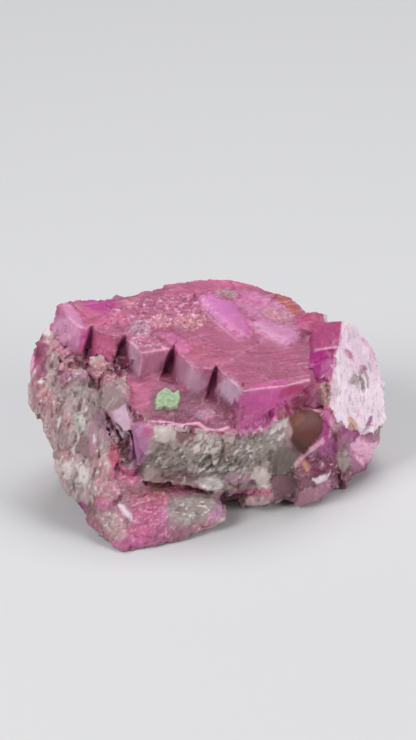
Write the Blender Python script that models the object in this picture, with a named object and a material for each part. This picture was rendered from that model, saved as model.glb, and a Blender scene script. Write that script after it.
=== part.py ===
"""A cobaltoan calcite specimen: a stepped cap of pink crystals on grey calcite.

The rock lies on a broken flat, with its front toward -Y. Its front was measured
as it is seen from SIGHT_DOWN above the level, so most places below are given as
across and up in that view, with the depth back along the table, in millimetres.
"""

import math

import bmesh
import bpy
from mathutils import Vector, noise

MM = 0.001
SIGHT_DOWN = math.radians(30.0)
SIN_DOWN = math.sin(SIGHT_DOWN)
COS_DOWN = math.cos(SIGHT_DOWN)
GAP = 0.3
# A chunk grown by an octahedron of this radius clears the first one by at least GAP.
GROWTH = GAP * math.sqrt(3.0)
BASE = -28.0
CLEAR_ABOVE = 6.0
MERGE = 0.002
FLAT_ANGLE = math.radians(0.1)

# The rock's break: flat leaning faces of two sizes, as their width and how far they lean.
BREAK_STEP = 0.8
BREAKS = ((7.5, 0.21), (3.8, 0.17))
STREAK = 1.5
BREAK_IN = 0.05
ROCK_FACES = 5600
# The smooth brown cleavage face is calm out to this far from its middle.
CALM = 5.0

# The steep edge at a tooth's blunt front corner, along which the cap's crystals and the rock's
# streaks run down.
DOWN = Vector((-0.20, -0.24, -1.02))

RUN_DOWN = DOWN.normalized()
CELL_SPREAD = 17.3

# Planes as a point and a normal.
TOP = (Vector((0.0, 0.0, 0.0)), Vector((0.167, -0.0927, 1.0)).normalized())
LEDGE = (Vector((0.0, 0.0, -9.3)), Vector((0.072, -0.42, 1.0)).normalized())
END = (Vector((23.7, 18.0, -8.6)), Vector((0.764, -0.576, 0.29)).normalized())
BROWN_FACE = (Vector((19.2, 15.0, -12.4)), Vector((0.57, -0.79, 0.25)).normalized())

GREY = (0.36, 0.30, 0.29)
PINK = (0.47, 0.13, 0.27)
WHITE_LILAC = (0.62, 0.47, 0.55)
MINT = (0.38, 0.52, 0.33)


def seen(across, up, back):
    """A place by how it is seen from the front, and its depth back along the table."""
    return Vector((across, back, (up - back * SIN_DOWN) / COS_DOWN))


def on_plane(plane, across, up, rise=0.0):
    """Where the line of sight through across and up meets a plane, raised off it by rise."""
    point, normal = plane
    start = seen(across, up, 0.0)
    sight = Vector((0.0, 1.0, -SIN_DOWN / COS_DOWN))
    back = normal.dot(point - start) / normal.dot(sight)
    return start + back * sight + rise * normal


def all_seen(*places):
    return [seen(*place) for place in places]


def hidden(*places):
    """Places that the front view doesn't show, as x, y and z."""
    return [Vector(place) for place in places]


def new_object(name, shape):
    mesh = bpy.data.meshes.new(name)
    shape.to_mesh(mesh)
    shape.free()
    made = bpy.data.objects.new(name, mesh)
    bpy.context.scene.collection.objects.link(made)
    return made


def chunk(points, grow=0.0):
    """One convex lump around its points, grown by an octahedron of radius grow."""
    shape = bmesh.new()
    for point in points:
        shape.verts.new(point)
        if grow > 0.0:
            for axis in (Vector((grow, 0, 0)), Vector((0, grow, 0)), Vector((0, 0, grow))):
                shape.verts.new(point + axis)
                shape.verts.new(point - axis)
    hull = bmesh.ops.convex_hull(shape, input=shape.verts)
    loose = set(hull["geom_interior"]) | set(hull["geom_unused"])
    inside = [item for item in loose if isinstance(item, bmesh.types.BMVert)]
    bmesh.ops.delete(shape, geom=inside, context="VERTS")
    bmesh.ops.recalc_face_normals(shape, faces=shape.faces)
    bmesh.ops.dissolve_limit(shape, angle_limit=FLAT_ANGLE, verts=shape.verts, edges=shape.edges)
    return new_object("chunk", shape)


def apply_modifiers(made):
    graph = bpy.context.evaluated_depsgraph_get()
    result = bpy.data.meshes.new_from_object(made.evaluated_get(graph))
    made.modifiers.clear()
    made.data = result


def combine(first, others, operation, solver="EXACT"):
    """Adds or cuts the other objects, and takes them out of the scene."""
    for other in others:
        step = first.modifiers.new("step", "BOOLEAN")
        step.solver = solver
        step.operation = operation
        step.object = other
    apply_modifiers(first)
    for other in others:
        bpy.data.objects.remove(other)
    return first


def step_plate(outline, thick, rise, grow=0.0):
    """A plate of the cap: its outline seen on the top plane, and the same outline pushed down."""
    top = [on_plane(TOP, across, up, rise) for across, up in outline]
    points = top + [point + DOWN * thick for point in top]
    if grow > 0.0:
        points += [point - DOWN * CLEAR_ABOVE for point in top]
    return chunk(points, grow)


def terrace(outline, rise, grow=0.0):
    """A low crystal face raised on the top plane, with its foot wider and sunk below it."""
    middle_across = sum(across for across, _ in outline) / len(outline)
    middle_up = sum(up for _, up in outline) / len(outline)
    points = []
    for across, up in outline:
        points.append(on_plane(TOP, across, up, rise))
        wider = (across + TERRACE_SPREAD * (across - middle_across), up + TERRACE_SPREAD * (up - middle_up))
        points.append(on_plane(TOP, *wider, -TERRACE_SUNK))
    return chunk(points, grow)


# The stepped teeth, from the left: outline on the top plane, thickness and rise.
PLATES = (
    (((-29.2, 21.0), (-28.3, 21.4), (-27.1, 20.3), (-25.8, 18.6), (-24.5, 16.4), (-22.9, 16.4), (-12.9, 19.8),
      (-15.2, 22.8), (-19.0, 22.1), (-23.7, 21.7)), 5.2, 0.2),
    (((-22.9, 16.4), (-21.0, 16.0), (-15.6, 14.7), (-9.0, 17.9), (-11.2, 24.4), (-18.7, 22.2)), 6.4, -0.05),
    (((-15.6, 14.8), (-12.5, 11.9), (-6.5, 12.6), (0.6, 17.9), (-4.4, 25.8), (-11.0, 24.2),
      (-15.2, 22.1)), 6.8, 0.0),
    (((-6.7, 12.8), (-2.7, 9.0), (1.9, 8.8), (10.6, 14.0), (8.8, 24.8), (0.4, 26.5), (-4.4, 25.8),
      (-8.5, 25.2)), 7.5, 0.15),
)
# The largest plate, whose underside rises from its corner's foot to the right.
LAST_PLATE = ((1.7, 9.0), (6.9, 4.6), (15.0, 5.6), (20.0, 6.5), (19.8, 12.7), (19.2, 15.8), (19.6, 19.8),
              (17.9, 21.3), (12.9, 23.6), (8.8, 25.0), (4.6, 26.5), (0.4, 26.5))
LAST_PLATE_FOOT = hidden(
    (1.8, 13.0, -9.5), (16.0, 23.0, -9.0), (5.0, 42.0, -8.0), (17.5, 38.0, -8.0), (-1.0, 40.0, -7.0))
LAST_CORNER_DEEP = 7.9
LAST_RIGHT_DEEP = 0.7

TERRACE_SPREAD = 0.12
TERRACE_SUNK = 1.2
TERRACES = (
    (((-1.9, 22.7), (0.6, 23.6), (2.9, 22.5), (5.6, 21.3), (6.9, 19.0), (8.3, 17.7), (7.9, 15.0),
      (5.6, 15.0), (2.9, 17.7), (0.1, 19.8)), 0.9),
    (((8.3, 17.7), (11.3, 15.0), (15.6, 13.3), (17.9, 14.6), (17.9, 16.3), (14.2, 17.7), (10.2, 18.5)), 0.8),
    (((-7.0, 12.9), (-4.6, 15.2), (-8.6, 17.2), (-10.8, 15.4)), 0.7),
    (((-11.4, 22.4), (-6.0, 24.6), (-2.4, 23.6), (-3.6, 20.4), (-9.2, 20.2)), 0.6),
    (((4.4, 25.9), (9.6, 24.6), (13.4, 22.6), (11.4, 20.8), (6.4, 22.6)), 0.7),
    (((-26.6, 21.3), (-20.4, 21.7), (-18.0, 19.4), (-23.0, 18.2)), 0.6),
    (((17.4, 16.2), (19.4, 15.4), (21.4, 16.6), (22.6, 18.9), (19.6, 19.2), (17.6, 18.2)), 1.2),
)

LEDGE_EDGE = ((-14.6, 1.6), (-12.8, 0.2), (-10.6, -1.3), (-7.3, -1.3), (-5.6, -1.9), (-1.7, -1.6),
              (0.2, -2.9), (2.3, -2.9), (5.4, -3.5))
LEDGE_BACK = ((-15.2, 9.0), (-13.1, 9.6), (-6.0, 8.6), (2.0, 4.6), (4.2, 1.2))
LEDGE_UNDER = Vector((0.0, 1.2, -2.4))


def ledge_parts(grow=0.0):
    """The lower step in front of the teeth, in two lumps that overlap."""
    def slab(edge, back):
        top = [on_plane(LEDGE, across, up) for across, up in edge + back]
        return chunk(top + [point + LEDGE_UNDER for point in top], grow)

    left = slab(LEDGE_EDGE[:6], LEDGE_BACK[:3])
    right = slab(LEDGE_EDGE[4:], LEDGE_BACK[2:])
    return [left, right]


def recess_parts(grow=0.0):
    """The deep rose wall below the last plate's broken underside."""
    wall = hidden(
        (11.0, 14.6, -9.6), (20.5, 18.4, -9.6), (12.5, 17.2, -3.4), (19.6, 19.6, -3.2),
        (11.0, 30.0, -9.6), (20.5, 30.0, -9.6), (12.0, 30.0, -3.0), (19.6, 30.0, -3.0))
    return [chunk(wall, grow)]


def cap_parts(grow=0.0):
    """Every lump of the pink cap."""
    parts = [step_plate(outline, thick, rise, grow) for outline, thick, rise in PLATES]
    last = [on_plane(TOP, across, up) for across, up in LAST_PLATE]
    last += [last[1] + DOWN * LAST_CORNER_DEEP, last[3] + DOWN * LAST_RIGHT_DEEP] + LAST_PLATE_FOOT
    if grow > 0.0:
        last += [point - DOWN * CLEAR_ABOVE for point in last[:len(LAST_PLATE)]]
    parts.append(chunk(last, grow))
    parts += [terrace(outline, rise, grow) for outline, rise in TERRACES]
    return parts + ledge_parts(grow) + recess_parts(grow)


END_FACE = ((26.2, 18.1), (25.6, 13.3), (24.3, 8.1), (24.2, 4.4), (24.0, 1.2), (26.3, -1.5), (29.2, -2.6),
            (31.5, -4.0), (33.9, -3.0), (35.0, -1.6), (34.9, 2.9), (34.8, 6.0), (33.6, 9.6), (32.3, 12.7),
            (31.0, 13.9), (28.8, 16.5))


def end_crystal_points():
    """The right end: its broken face, the ridge on that face's left, and the two magenta faces."""
    points = [on_plane(END, across, up) for across, up in END_FACE]
    points += all_seen(
        (20.4, 8.1, 19.9), (20.4, 12.7, 26.6), (21.5, 16.5, 33.0), (22.9, 17.9, 30.0),
        (21.4, 3.2, 18.0), (22.6, 1.0, 17.6), (24.6, 18.0, 34.0))
    return points + hidden(
        (29.0, 38.0, -2.0), (24.0, 39.0, -2.5), (31.5, 37.0, -12.0), (22.0, 37.0, -12.0),
        (24.0, 24.0, -15.0), (32.5, 34.0, -16.0), (22.0, 24.0, -13.0))


# The rock's overlapping lumps. A place that the front shows is across, up and back.
CORE = hidden(
    (-28, 24, 5.0), (-24, 33, 5.5), (-12, 40, 4.0), (2, 46, 2.4), (12, 44, 0.5), (22, 40, -1.5),
    (28, 35, -4.0), (20, 17, -5.0), (7, 11, -4.5), (-12, 18, 1.0), (-22, 22, 3.0),
    (-30, 25, -8), (-25, 36, -10), (3, 46.5, -12), (25, 41, -12), (30, 36, -15),
    (-22, 8, BASE - 1), (-26, 24, BASE - 1), (-18, 38, BASE - 1), (2, 43, BASE - 1), (18, 41, BASE - 1),
    (27, 33, BASE - 1), (24, 21, BASE - 1), (14, 17, BASE - 1), (2, 17, BASE - 1))

BAND = all_seen(
    (-13.0, -1.9, 7.6), (-10.6, -1.4, 7.2), (-5.6, -2.0, 6.4), (0.2, -3.0, 6.1), (6.3, -4.8, 7.4),
    (12.3, -1.2, 12.0), (15.6, 0.6, 13.8), (-12.0, -8.0, 6.0), (-2.0, -7.0, 5.0), (8.0, -8.0, 7.2),
    (15.5, -9.0, 11.6), (-11.7, -13.2, 6.6), (0.4, -14.9, 7.6), (6.3, -15.1, 8.6), (12.1, -14.8, 10.6),
    (15.0, -17.0, 12.2)) + hidden((-13, 20, -8), (20, 22, -8), (-13, 20, -24), (19, 24, BASE - 1))

LEFT_SLAB = all_seen(
    (-31.2, 16.3, 27.0), (-33.3, 14.6, 24.0), (-34.4, 11.9, 22.5), (-34.9, 9.8, 21.0), (-34.9, 8.1, 20.0),
    (-33.9, 5.8, 18.5), (-31.7, 1.0, 16.0), (-30.4, -3.5, 13.5), (-28.7, -8.8, 11.0), (-27.7, -12.5, 9.0),
    (-25.3, -16.5, 6.0), (-26.5, 9.4, 17.0), (-22.0, 6.7, 13.6), (-21.4, 2.1, 11.2), (-18.4, -2.9, 8.6),
    (-17.4, -8.7, 6.6), (-20.6, -14.0, 3.6)) + hidden(
    (-22, 5, BASE - 1), (-28, 20, -26), (-31, 26, -8), (-27, 28, -22))

LEFT_CORNER = all_seen(
    (-31.2, 16.3, 27.0), (-30.6, 18.4, 29.0), (-29.6, 18.8, 29.5), (-28.4, 15.4, 25.0),
    (-30.6, 13.6, 24.0)) + hidden((-29, 34, 1), (-25, 32, -4), (-30, 26, -6))

WEDGE = all_seen(
    (-21.0, 4.6, 11.0), (-18.1, 6.9, 13.5), (-15.2, 3.3, 9.4), (-14.4, -2.1, 6.4), (-16.3, -4.2, 5.8),
    (-17.3, -3.3, 6.3), (-19.4, 0.6, 8.3), (-21.0, 2.1, 10.0)) + hidden(
    (-20, 19, 0), (-14, 19, -2), (-15, 16, -9))

COLUMN = all_seen(
    (-14.8, -1.4, 6.6), (-10.8, -2.2, 6.0), (-10.6, -9.0, 5.0), (-13.6, -10.4, 5.4)) + hidden(
    (-15, 14, -6), (-10, 14, -6), (-14, 12, -16), (-10, 12, -16))

FOOT = all_seen(
    (-11.7, -13.6, 4.5), (0.4, -15.3, 6.8), (-20.6, -15.6, 2.2), (-14.6, -17.0, 0.6), (-7.5, -16.3, 2.2),
    (1.5, -15.9, 5.8), (3.7, -17.5, 8.0), (2.9, -19.8, 5.0), (0.8, -22.3, 2.5), (-5.6, -24.3, -0.5),
    (-13.1, -26.2, -4.0), (-16.3, -26.6, -4.6), (-20.1, -22.3, -1.0), (-23.8, -19.8, 3.6)) + hidden(
    (-24, 14, BASE - 1), (0, 16, BASE - 1), (-12, 14, -15.5))

RIGHT_SHOULDER = all_seen(
    (24.6, -0.6, 18.6), (31.7, -2.9, 24.8), (34.6, -2.5, 28.6), (34.0, -4.6, 27.6), (32.9, -7.0, 26.0),
    (28.5, -5.5, 22.6), (24.0, -8.0, 17.6)) + hidden(
    (33, 36, -15), (31, 38, -24), (20, 30, -10), (32, 33, -24))
BROWN_MIDDLE = (19.6, -2.6)
RIGHT_SHOULDER += [on_plane(BROWN_FACE, across, up) for across, up in (
    (16.2, -0.2), (18.8, 0.6), (21.2, 0.6), (23.1, -2.2), (22.9, -4.4), (21.0, -5.8), (18.6, -6.8),
    (16.3, -4.2))]

RIGHT_KNOB = all_seen(
    (15.0, -17.3, 12.0), (16.9, -18.0, 12.3), (19.2, -18.1, 12.5), (21.7, -17.3, 13.4), (23.3, -16.0, 15.4),
    (24.6, -14.3, 18.0), (28.1, -11.9, 22.0), (31.0, -10.6, 25.0), (32.2, -9.0, 26.0), (28.0, -8.0, 22.2),
    (20.5, -9.5, 13.0), (16.5, -11.0, 11.4), (19.0, -14.0, 11.2)) + hidden(
    (30, 36, BASE - 1), (16, 24, BASE - 1), (20, 24, -16), (31, 35, -20))

BAND_END = all_seen(
    (14.0, -2.0, 12.8), (13.0, -8.0, 10.6), (13.4, -14.4, 10.9), (17.4, -1.0, 14.9), (18.6, -7.4, 14.0),
    (17.6, -13.0, 12.0), (16.6, -17.0, 12.3)) + hidden(
    (14, 22, -10), (18, 22, -12), (14, 22, -26), (18, 22, -26))

MATRIX_LUMPS = (CORE, BAND, BAND_END, LEFT_SLAB, LEFT_CORNER, WEDGE, COLUMN, FOOT, RIGHT_SHOULDER, RIGHT_KNOB)

# Cracks as paths of across, up and back on the surface, then their width and depth.
CRACKS = (
    (((-26.8, 9.9, 17.6), (-22.6, 8.4, 14.6), (-20.6, 4.2, 11.4), (-21.2, 1.8, 10.6), (-19.6, 0.2, 8.9),
      (-18.0, -2.8, 7.4), (-16.6, -4.6, 6.2)), 0.9, 3.2),
    (((-12.6, -13.2, 4.6), (-7.0, -13.6, 5.2), (0.8, -15.1, 7.2)), 0.9, 5.0),
)


def crack(path, wide, deep):
    """Blades along a path, wide in front of the surface and sharp inside."""
    blades = []
    places = [seen(*place) for place in path]
    outward = Vector((0.0, -1.5, 0.0))
    inward = Vector((0.0, deep, -0.3 * deep))
    for start, end in zip(places, places[1:]):
        run = (end - start).normalized()
        side = run.cross(Vector((0.0, 1.0, 0.0))).normalized() * wide
        mouth = [place + outward + way for place in (start, end) for way in (side, -side)]
        blades.append(chunk(mouth + [start + inward - 0.3 * run, end + inward + 0.3 * run]))
    return blades


def hollow(mouth, deepest):
    """A pit from its mouth, which stands clear of the surface, down to a quarter of that size."""
    points = all_seen(*mouth)
    bottom = seen(*deepest)
    return chunk(points + [bottom + 0.25 * (point - bottom) for point in points])


HOLLOWS = (
    (((-16.8, -3.2, 4.0), (-14.2, -3.6, 4.0), (-13.4, -8.6, 3.4), (-15.8, -9.6, 3.4)), (-15.0, -6.6, 13.0)),
    (((-18.6, -15.6, -0.5), (-15.6, -15.2, -0.5), (-17.6, -17.2, -0.8)), (-17.2, -16.0, 5.0)),
    (((-24.4, 8.6, 12.0), (-20.6, 9.4, 12.0), (-20.8, 6.4, 10.0), (-23.6, 7.4, 10.5)), (-21.8, 8.2, 19.0)),
)

# Dark notches between the teeth: two sides of the mouth and the inner end, seen on the top plane,
# and how far down each goes.
NOTCHES = (
    ((-23.2, 15.9), (-21.1, 15.9), (-22.3, 17.1), 6.0),
    ((-17.4, 14.0), (-14.7, 13.4), (-15.6, 15.7), 8.0),
    ((-7.6, 12.0), (-5.6, 11.6), (-6.4, 13.2), 4.6),
    ((0.9, 8.2), (2.6, 8.0), (1.8, 9.6), 5.2),
)
NOTCH_LEAN = Vector((0.0, 1.8, 0.0))
NOTCH_MOUTH = 4.0
NOTCH_ABOVE = 1.5


def notch(left, right, inner, deep):
    """A groove down between two teeth, which goes in further toward its foot."""
    end = on_plane(TOP, *inner)
    corners = [end]
    for side in (left, right):
        place = on_plane(TOP, *side)
        corners.append(place + (place - end).normalized() * NOTCH_MOUTH)
    lowered = [corner + DOWN * deep for corner in corners]
    lowered[0] += NOTCH_LEAN
    return chunk([corner - DOWN * NOTCH_ABOVE for corner in corners] + lowered)


def stand_out(point, width, lean):
    """How far the rock stands out here: each cell of the break is a flat face with a lean of its own."""
    streaked = point - point.dot(RUN_DOWN) * (1 - 1 / STREAK) * RUN_DOWN
    place = streaked / width
    middle = noise.voronoi(place)[1][0]
    way = noise.cell_vector(middle * CELL_SPREAD) * 2 - Vector((1, 1, 1))
    return (place - middle).dot(way) * width * lean


def broken(rock):
    """Gives the rock its break, in a few thousand faces."""
    even = rock.modifiers.new("even faces", "REMESH")
    even.mode = "VOXEL"
    even.voxel_size = BREAK_STEP
    apply_modifiers(rock)
    outward = [vert.normal.copy() for vert in rock.data.vertices]
    smooth_place = on_plane(BROWN_FACE, *BROWN_MIDDLE)
    for vert, way in zip(rock.data.vertices, outward):
        out = sum(stand_out(vert.co, width, lean) for width, lean in BREAKS)
        rough = min(1.0, max(0.0, (vert.co - smooth_place).length / CALM - 0.6))
        vert.co += way * (out * rough - BREAK_IN)
    fewer = rock.modifiers.new("fewer faces", "DECIMATE")
    fewer.ratio = ROCK_FACES / (2 * len(rock.data.polygons))
    apply_modifiers(rock)
    return rock


def cover_of_end():
    """The end crystal grown, to clear its neighbours."""
    return chunk(end_crystal_points(), GROWTH)


def make_cap():
    parts = cap_parts()
    cap = combine(parts[0], parts[1:], "UNION")
    return combine(cap, [notch(*places) for places in NOTCHES] + [cover_of_end()], "DIFFERENCE")


def make_matrix():
    lumps = [chunk(points) for points in MATRIX_LUMPS]
    rock = broken(combine(lumps[0], lumps[1:], "UNION"))
    cutters = cap_parts(GROWTH) + [cover_of_end()]
    for path, wide, deep in CRACKS:
        cutters += crack(path, wide, deep)
    cutters += [hollow(mouth, deepest) for mouth, deepest in HOLLOWS]
    below = hidden(*[(x, y, z) for x in (-60, 60) for y in (-40, 80) for z in (BASE - 30, BASE)])
    cutters.append(chunk(below))
    # The break folds over itself in a few corners, where the EXACT solver loses the whole rock.
    return combine(rock, cutters, "DIFFERENCE", "MANIFOLD")


MALACHITE = ((-9.6, 4.2), (-7.9, 5.2), (-6.9, 4.6), (-6.4, 4.0), (-5.2, 4.8), (-5.0, 2.9), (-5.6, 1.3),
             (-7.7, 0.6), (-8.3, 1.2), (-10.0, 0.8), (-10.2, 2.5))
MALACHITE_THICK = 0.8
MALACHITE_TOP = 0.86


def make_malachite():
    """A flat mint patch on the ledge, a little narrower at its top."""
    shape = bmesh.new()
    low = [shape.verts.new(on_plane(LEDGE, across, up, GAP)) for across, up in MALACHITE]
    middle = sum((vert.co for vert in low), Vector()) / len(low)
    lift = LEDGE[1] * MALACHITE_THICK
    high = [shape.verts.new(middle + MALACHITE_TOP * (vert.co - middle) + lift) for vert in low]
    shape.faces.new(low)
    shape.faces.new(high)
    for i, vert in enumerate(low):
        j = (i + 1) % len(low)
        shape.faces.new((vert, low[j], high[j], high[i]))
    bmesh.ops.recalc_face_normals(shape, faces=shape.faces)
    return new_object("malachite_patch", shape)


def largest_body(made):
    """Drops the crumbs that a cut has left loose."""
    shape = bmesh.new()
    shape.from_mesh(made.data)
    bmesh.ops.remove_doubles(shape, verts=shape.verts, dist=MERGE)
    bodies = []
    left = set(shape.verts)
    while left:
        body = set()
        edge = [left.pop()]
        while edge:
            vert = edge.pop()
            body.add(vert)
            for link in vert.link_edges:
                other = link.other_vert(vert)
                if other in left:
                    left.remove(other)
                    edge.append(other)
        bodies.append(body)
    bodies.sort(key=len, reverse=True)
    for body in bodies[1:]:
        bmesh.ops.delete(shape, geom=list(body), context="VERTS")
    shape.to_mesh(made.data)
    shape.free()
    return made


def material(name, colour, roughness):
    made = bpy.data.materials.new(name)
    made.use_nodes = True
    surface = made.node_tree.nodes["Principled BSDF"]
    surface.inputs["Base Color"].default_value = (*colour, 1.0)
    surface.inputs["Roughness"].default_value = roughness
    surface.inputs["Metallic"].default_value = 0.0
    return made


def finish(made, name, colour, roughness):
    made.name = name
    made.data.name = name
    made.data.materials.clear()
    made.data.materials.append(material(name, colour, roughness))


def stand_on_origin(pieces):
    """Moves the box around the meshes onto the origin, and turns millimetres into metres."""
    corners = [vert.co for piece in pieces for vert in piece.data.vertices]
    low = Vector([min(corner[axis] for corner in corners) for axis in range(3)])
    high = Vector([max(corner[axis] for corner in corners) for axis in range(3)])
    shift = Vector((-(low.x + high.x) / 2, -(low.y + high.y) / 2, -low.z))
    for piece in pieces:
        for vert in piece.data.vertices:
            vert.co = (vert.co + shift) * MM


def main():
    for old in list(bpy.data.objects):
        bpy.data.objects.remove(old)
    cap = largest_body(make_cap())
    rock = largest_body(make_matrix())
    end = chunk(end_crystal_points())
    malachite = make_malachite()
    finish(rock, "matrix", GREY, 0.55)
    finish(cap, "crystal_cap", PINK, 0.35)
    finish(end, "end_crystal", WHITE_LILAC, 0.35)
    finish(malachite, "malachite_patch", MINT, 0.6)
    stand_on_origin([rock, cap, end, malachite])


main()
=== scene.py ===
# %% [markdown]
# # A cobaltoan calcite specimen, seen close
#
# The frame holds four plain solids: a grey rock, a stepped pink cap, a crystal that is
# broken across at the right end, and a small mint patch. This lesson gives each of them
# the skin of a real mineral: cleavage steps, chipped edges, grains, stains and a soft
# glow below the surface. Sizes in the cells are millimetres unless they say otherwise.

# %% Load the frame
import math

import bmesh
import bpy
import numpy as np
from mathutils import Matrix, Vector, noise
from mathutils.bvhtree import BVHTree
from mathutils.kdtree import KDTree


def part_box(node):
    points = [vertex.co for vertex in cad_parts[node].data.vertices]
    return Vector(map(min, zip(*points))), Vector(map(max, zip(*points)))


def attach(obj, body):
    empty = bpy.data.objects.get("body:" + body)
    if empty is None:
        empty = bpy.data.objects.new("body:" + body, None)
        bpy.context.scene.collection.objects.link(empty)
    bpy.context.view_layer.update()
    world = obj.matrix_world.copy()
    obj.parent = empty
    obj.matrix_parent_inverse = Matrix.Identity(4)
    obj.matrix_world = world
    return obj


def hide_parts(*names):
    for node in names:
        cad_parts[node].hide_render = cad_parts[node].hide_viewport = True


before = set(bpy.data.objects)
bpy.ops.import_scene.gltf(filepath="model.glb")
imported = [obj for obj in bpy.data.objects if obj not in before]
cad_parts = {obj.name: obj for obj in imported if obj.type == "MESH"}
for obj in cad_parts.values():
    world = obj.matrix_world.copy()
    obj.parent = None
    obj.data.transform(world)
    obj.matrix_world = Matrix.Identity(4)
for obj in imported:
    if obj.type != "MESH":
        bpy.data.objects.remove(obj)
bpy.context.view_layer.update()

print("nodes:", sorted(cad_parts))

# %% [markdown]
# ## The view
#
# The rock was measured as it is seen from 30 degrees above the table. A place in that
# view is a pair of picture points, 5.2 of them to a millimetre, and its depth. The far
# right corner of the end crystal ties the view to the frame, so that a stain can be put
# where it is seen and still sit on the stone.

# %% From the frame to the view and back
MM = 0.001
PX_PER_MM = 5.2
SIGHT_DOWN = math.radians(30)
VIEW_MIDDLE = (207, 415)
VIEW_BASE = 28.0
END_RIGHT = 35.0
END_BACK = 39.0

end_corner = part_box("end_crystal")[1] / MM
ORIGIN = Vector((end_corner.x - END_RIGHT, end_corner.y - END_BACK, VIEW_BASE))
TO_EYE = np.array((0.0, -math.cos(SIGHT_DOWN), math.sin(SIGHT_DOWN)))


def in_view(places):
    """Picture points, right and down, of places in millimetres from ORIGIN."""
    right = VIEW_MIDDLE[0] + PX_PER_MM * places[:, 0]
    up = places[:, 2] * math.cos(SIGHT_DOWN) + places[:, 1] * math.sin(SIGHT_DOWN)
    return right, VIEW_MIDDLE[1] - PX_PER_MM * up


def from_view(right, down, back):
    """The place, in metres in the frame, of a picture point at a depth back along the table."""
    up = (VIEW_MIDDLE[1] - down) / PX_PER_MM
    place = Vector((
        (right - VIEW_MIDDLE[0]) / PX_PER_MM, back,
        (up - back * math.sin(SIGHT_DOWN)) / math.cos(SIGHT_DOWN)))
    return (place + ORIGIN) * MM


print("the view's middle lies at", [round(x, 2) for x in ORIGIN], "mm in the frame")

# %% [markdown]
# ## The camera
#
# A long lens keeps the faces of a crystal parallel, as a close photograph from a little
# way off does. The camera aims at the middle of the picture, which is a little above
# the stone, so it needs no shift.

# %% Camera
LENS = 300.0
SENSOR = 36.0
PICTURE = (416, 740)
AIM_BACK = 17.0
CLIP = (0.05, 20.0)

camera_data = bpy.data.cameras.new("specimen_camera")
camera_data.lens = LENS
camera_data.sensor_width = SENSOR
camera = bpy.data.objects.new("specimen_camera", camera_data)
bpy.context.scene.collection.objects.link(camera)
bpy.context.scene.camera = camera
reach = PICTURE[1] / SENSOR * LENS / PX_PER_MM * MM
aim = from_view(PICTURE[0] / 2, PICTURE[1] / 2, AIM_BACK)
camera.location = aim + Vector(TO_EYE) * reach
camera.rotation_euler = (math.pi / 2 - SIGHT_DOWN, 0.0, 0.0)
camera_data.clip_start = CLIP[0]
camera_data.clip_end = CLIP[1]
print("the camera stands", round(reach, 3), "m from the stone")

# %% [markdown]
# ## Light and floor
#
# Soft boxes on both sides let the flat faces differ: a face that leans toward a box is
# pale, and the next one is dark. The left box is the main light, the right one lights
# the broken end, and a weak one from above wakes the glints on the top.

# %% Floor and soft boxes
FLOOR_HALF = 3.0
FLOOR_COLOUR = (0.60, 0.60, 0.61, 1.0)
FLOOR_ROUGHNESS = 0.8
WORLD_LIGHT = 0.20
WORLD_COLOUR = (0.86, 0.88, 0.92, 1.0)
STONE_MIDDLE = Vector((0.0, 0.0, 0.018))
SOFT_BOXES = (
    ("left_box", (-0.42, -0.30, 0.42), 0.30, 2.9),
    ("right_box", (0.50, -0.26, 0.20), 0.26, 2.0),
    ("top_box", (0.06, 0.22, 0.55), 0.34, 2.0),
)


def soft_box(name, place, size, power):
    """A square area light, place and size in metres and power in watts, that faces the stone."""
    light = bpy.data.lights.new(name, "AREA")
    light.size = size
    light.energy = power
    made = bpy.data.objects.new(name, light)
    made.location = place
    made.rotation_euler = (STONE_MIDDLE - Vector(place)).to_track_quat("-Z", "Y").to_euler()
    bpy.context.scene.collection.objects.link(made)


def plain_floor():
    shape = bmesh.new()
    bmesh.ops.create_grid(shape, x_segments=1, y_segments=1, size=FLOOR_HALF)
    mesh = bpy.data.meshes.new("floor")
    shape.to_mesh(mesh)
    shape.free()
    floor = bpy.data.objects.new("floor", mesh)
    finish = bpy.data.materials.new("floor_paint")
    finish.use_nodes = True
    surface = finish.node_tree.nodes["Principled BSDF"]
    surface.inputs["Base Color"].default_value = FLOOR_COLOUR
    surface.inputs["Roughness"].default_value = FLOOR_ROUGHNESS
    mesh.materials.append(finish)
    bpy.context.scene.collection.objects.link(floor)


plain_floor()
for box in SOFT_BOXES:
    soft_box(*box)
world = bpy.data.worlds.new("studio")
world.use_nodes = True
background = world.node_tree.nodes["Background"]
background.inputs["Color"].default_value = WORLD_COLOUR
background.inputs["Strength"].default_value = WORLD_LIGHT
bpy.context.scene.world = world
bpy.context.scene.view_settings.view_transform = "Standard"
print(len(SOFT_BOXES), "soft boxes and a world light of", WORLD_LIGHT)

# %% [markdown]
# ## Fields that break stone
#
# A broken mineral is many small flat faces, each with a lean of its own. A Voronoi
# pattern gives the cells, and the distance from a leaning plane in each cell gives how
# far the skin stands out there. Stretching the pattern along one direction makes the
# long splinters that calcite breaks into.
# Each cell also gives a share of painted light, set by the way it leans, that later makes its colour lighter
# or darker.

# %% Break cells, steps and soft noise
ONES = Vector((1.0, 1.0, 1.0))
CELL_SPREAD = 17.3
CRUMB_REACH = 0.75
ROUGHER = 0.8
FINER = 2.1


def unit(*parts):
    """A direction of length 1."""
    return np.array(parts) / np.linalg.norm(parts)


DOWN = unit(-0.20, -0.24, -1.02)
ALONG = unit(1.0, 0.51, -0.12)


def stretched(places, along, stretch):
    """Places squeezed along a direction, so that a pattern on them is drawn out that way."""
    return places - np.outer(places @ along, along) * (1 - 1 / stretch)


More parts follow.
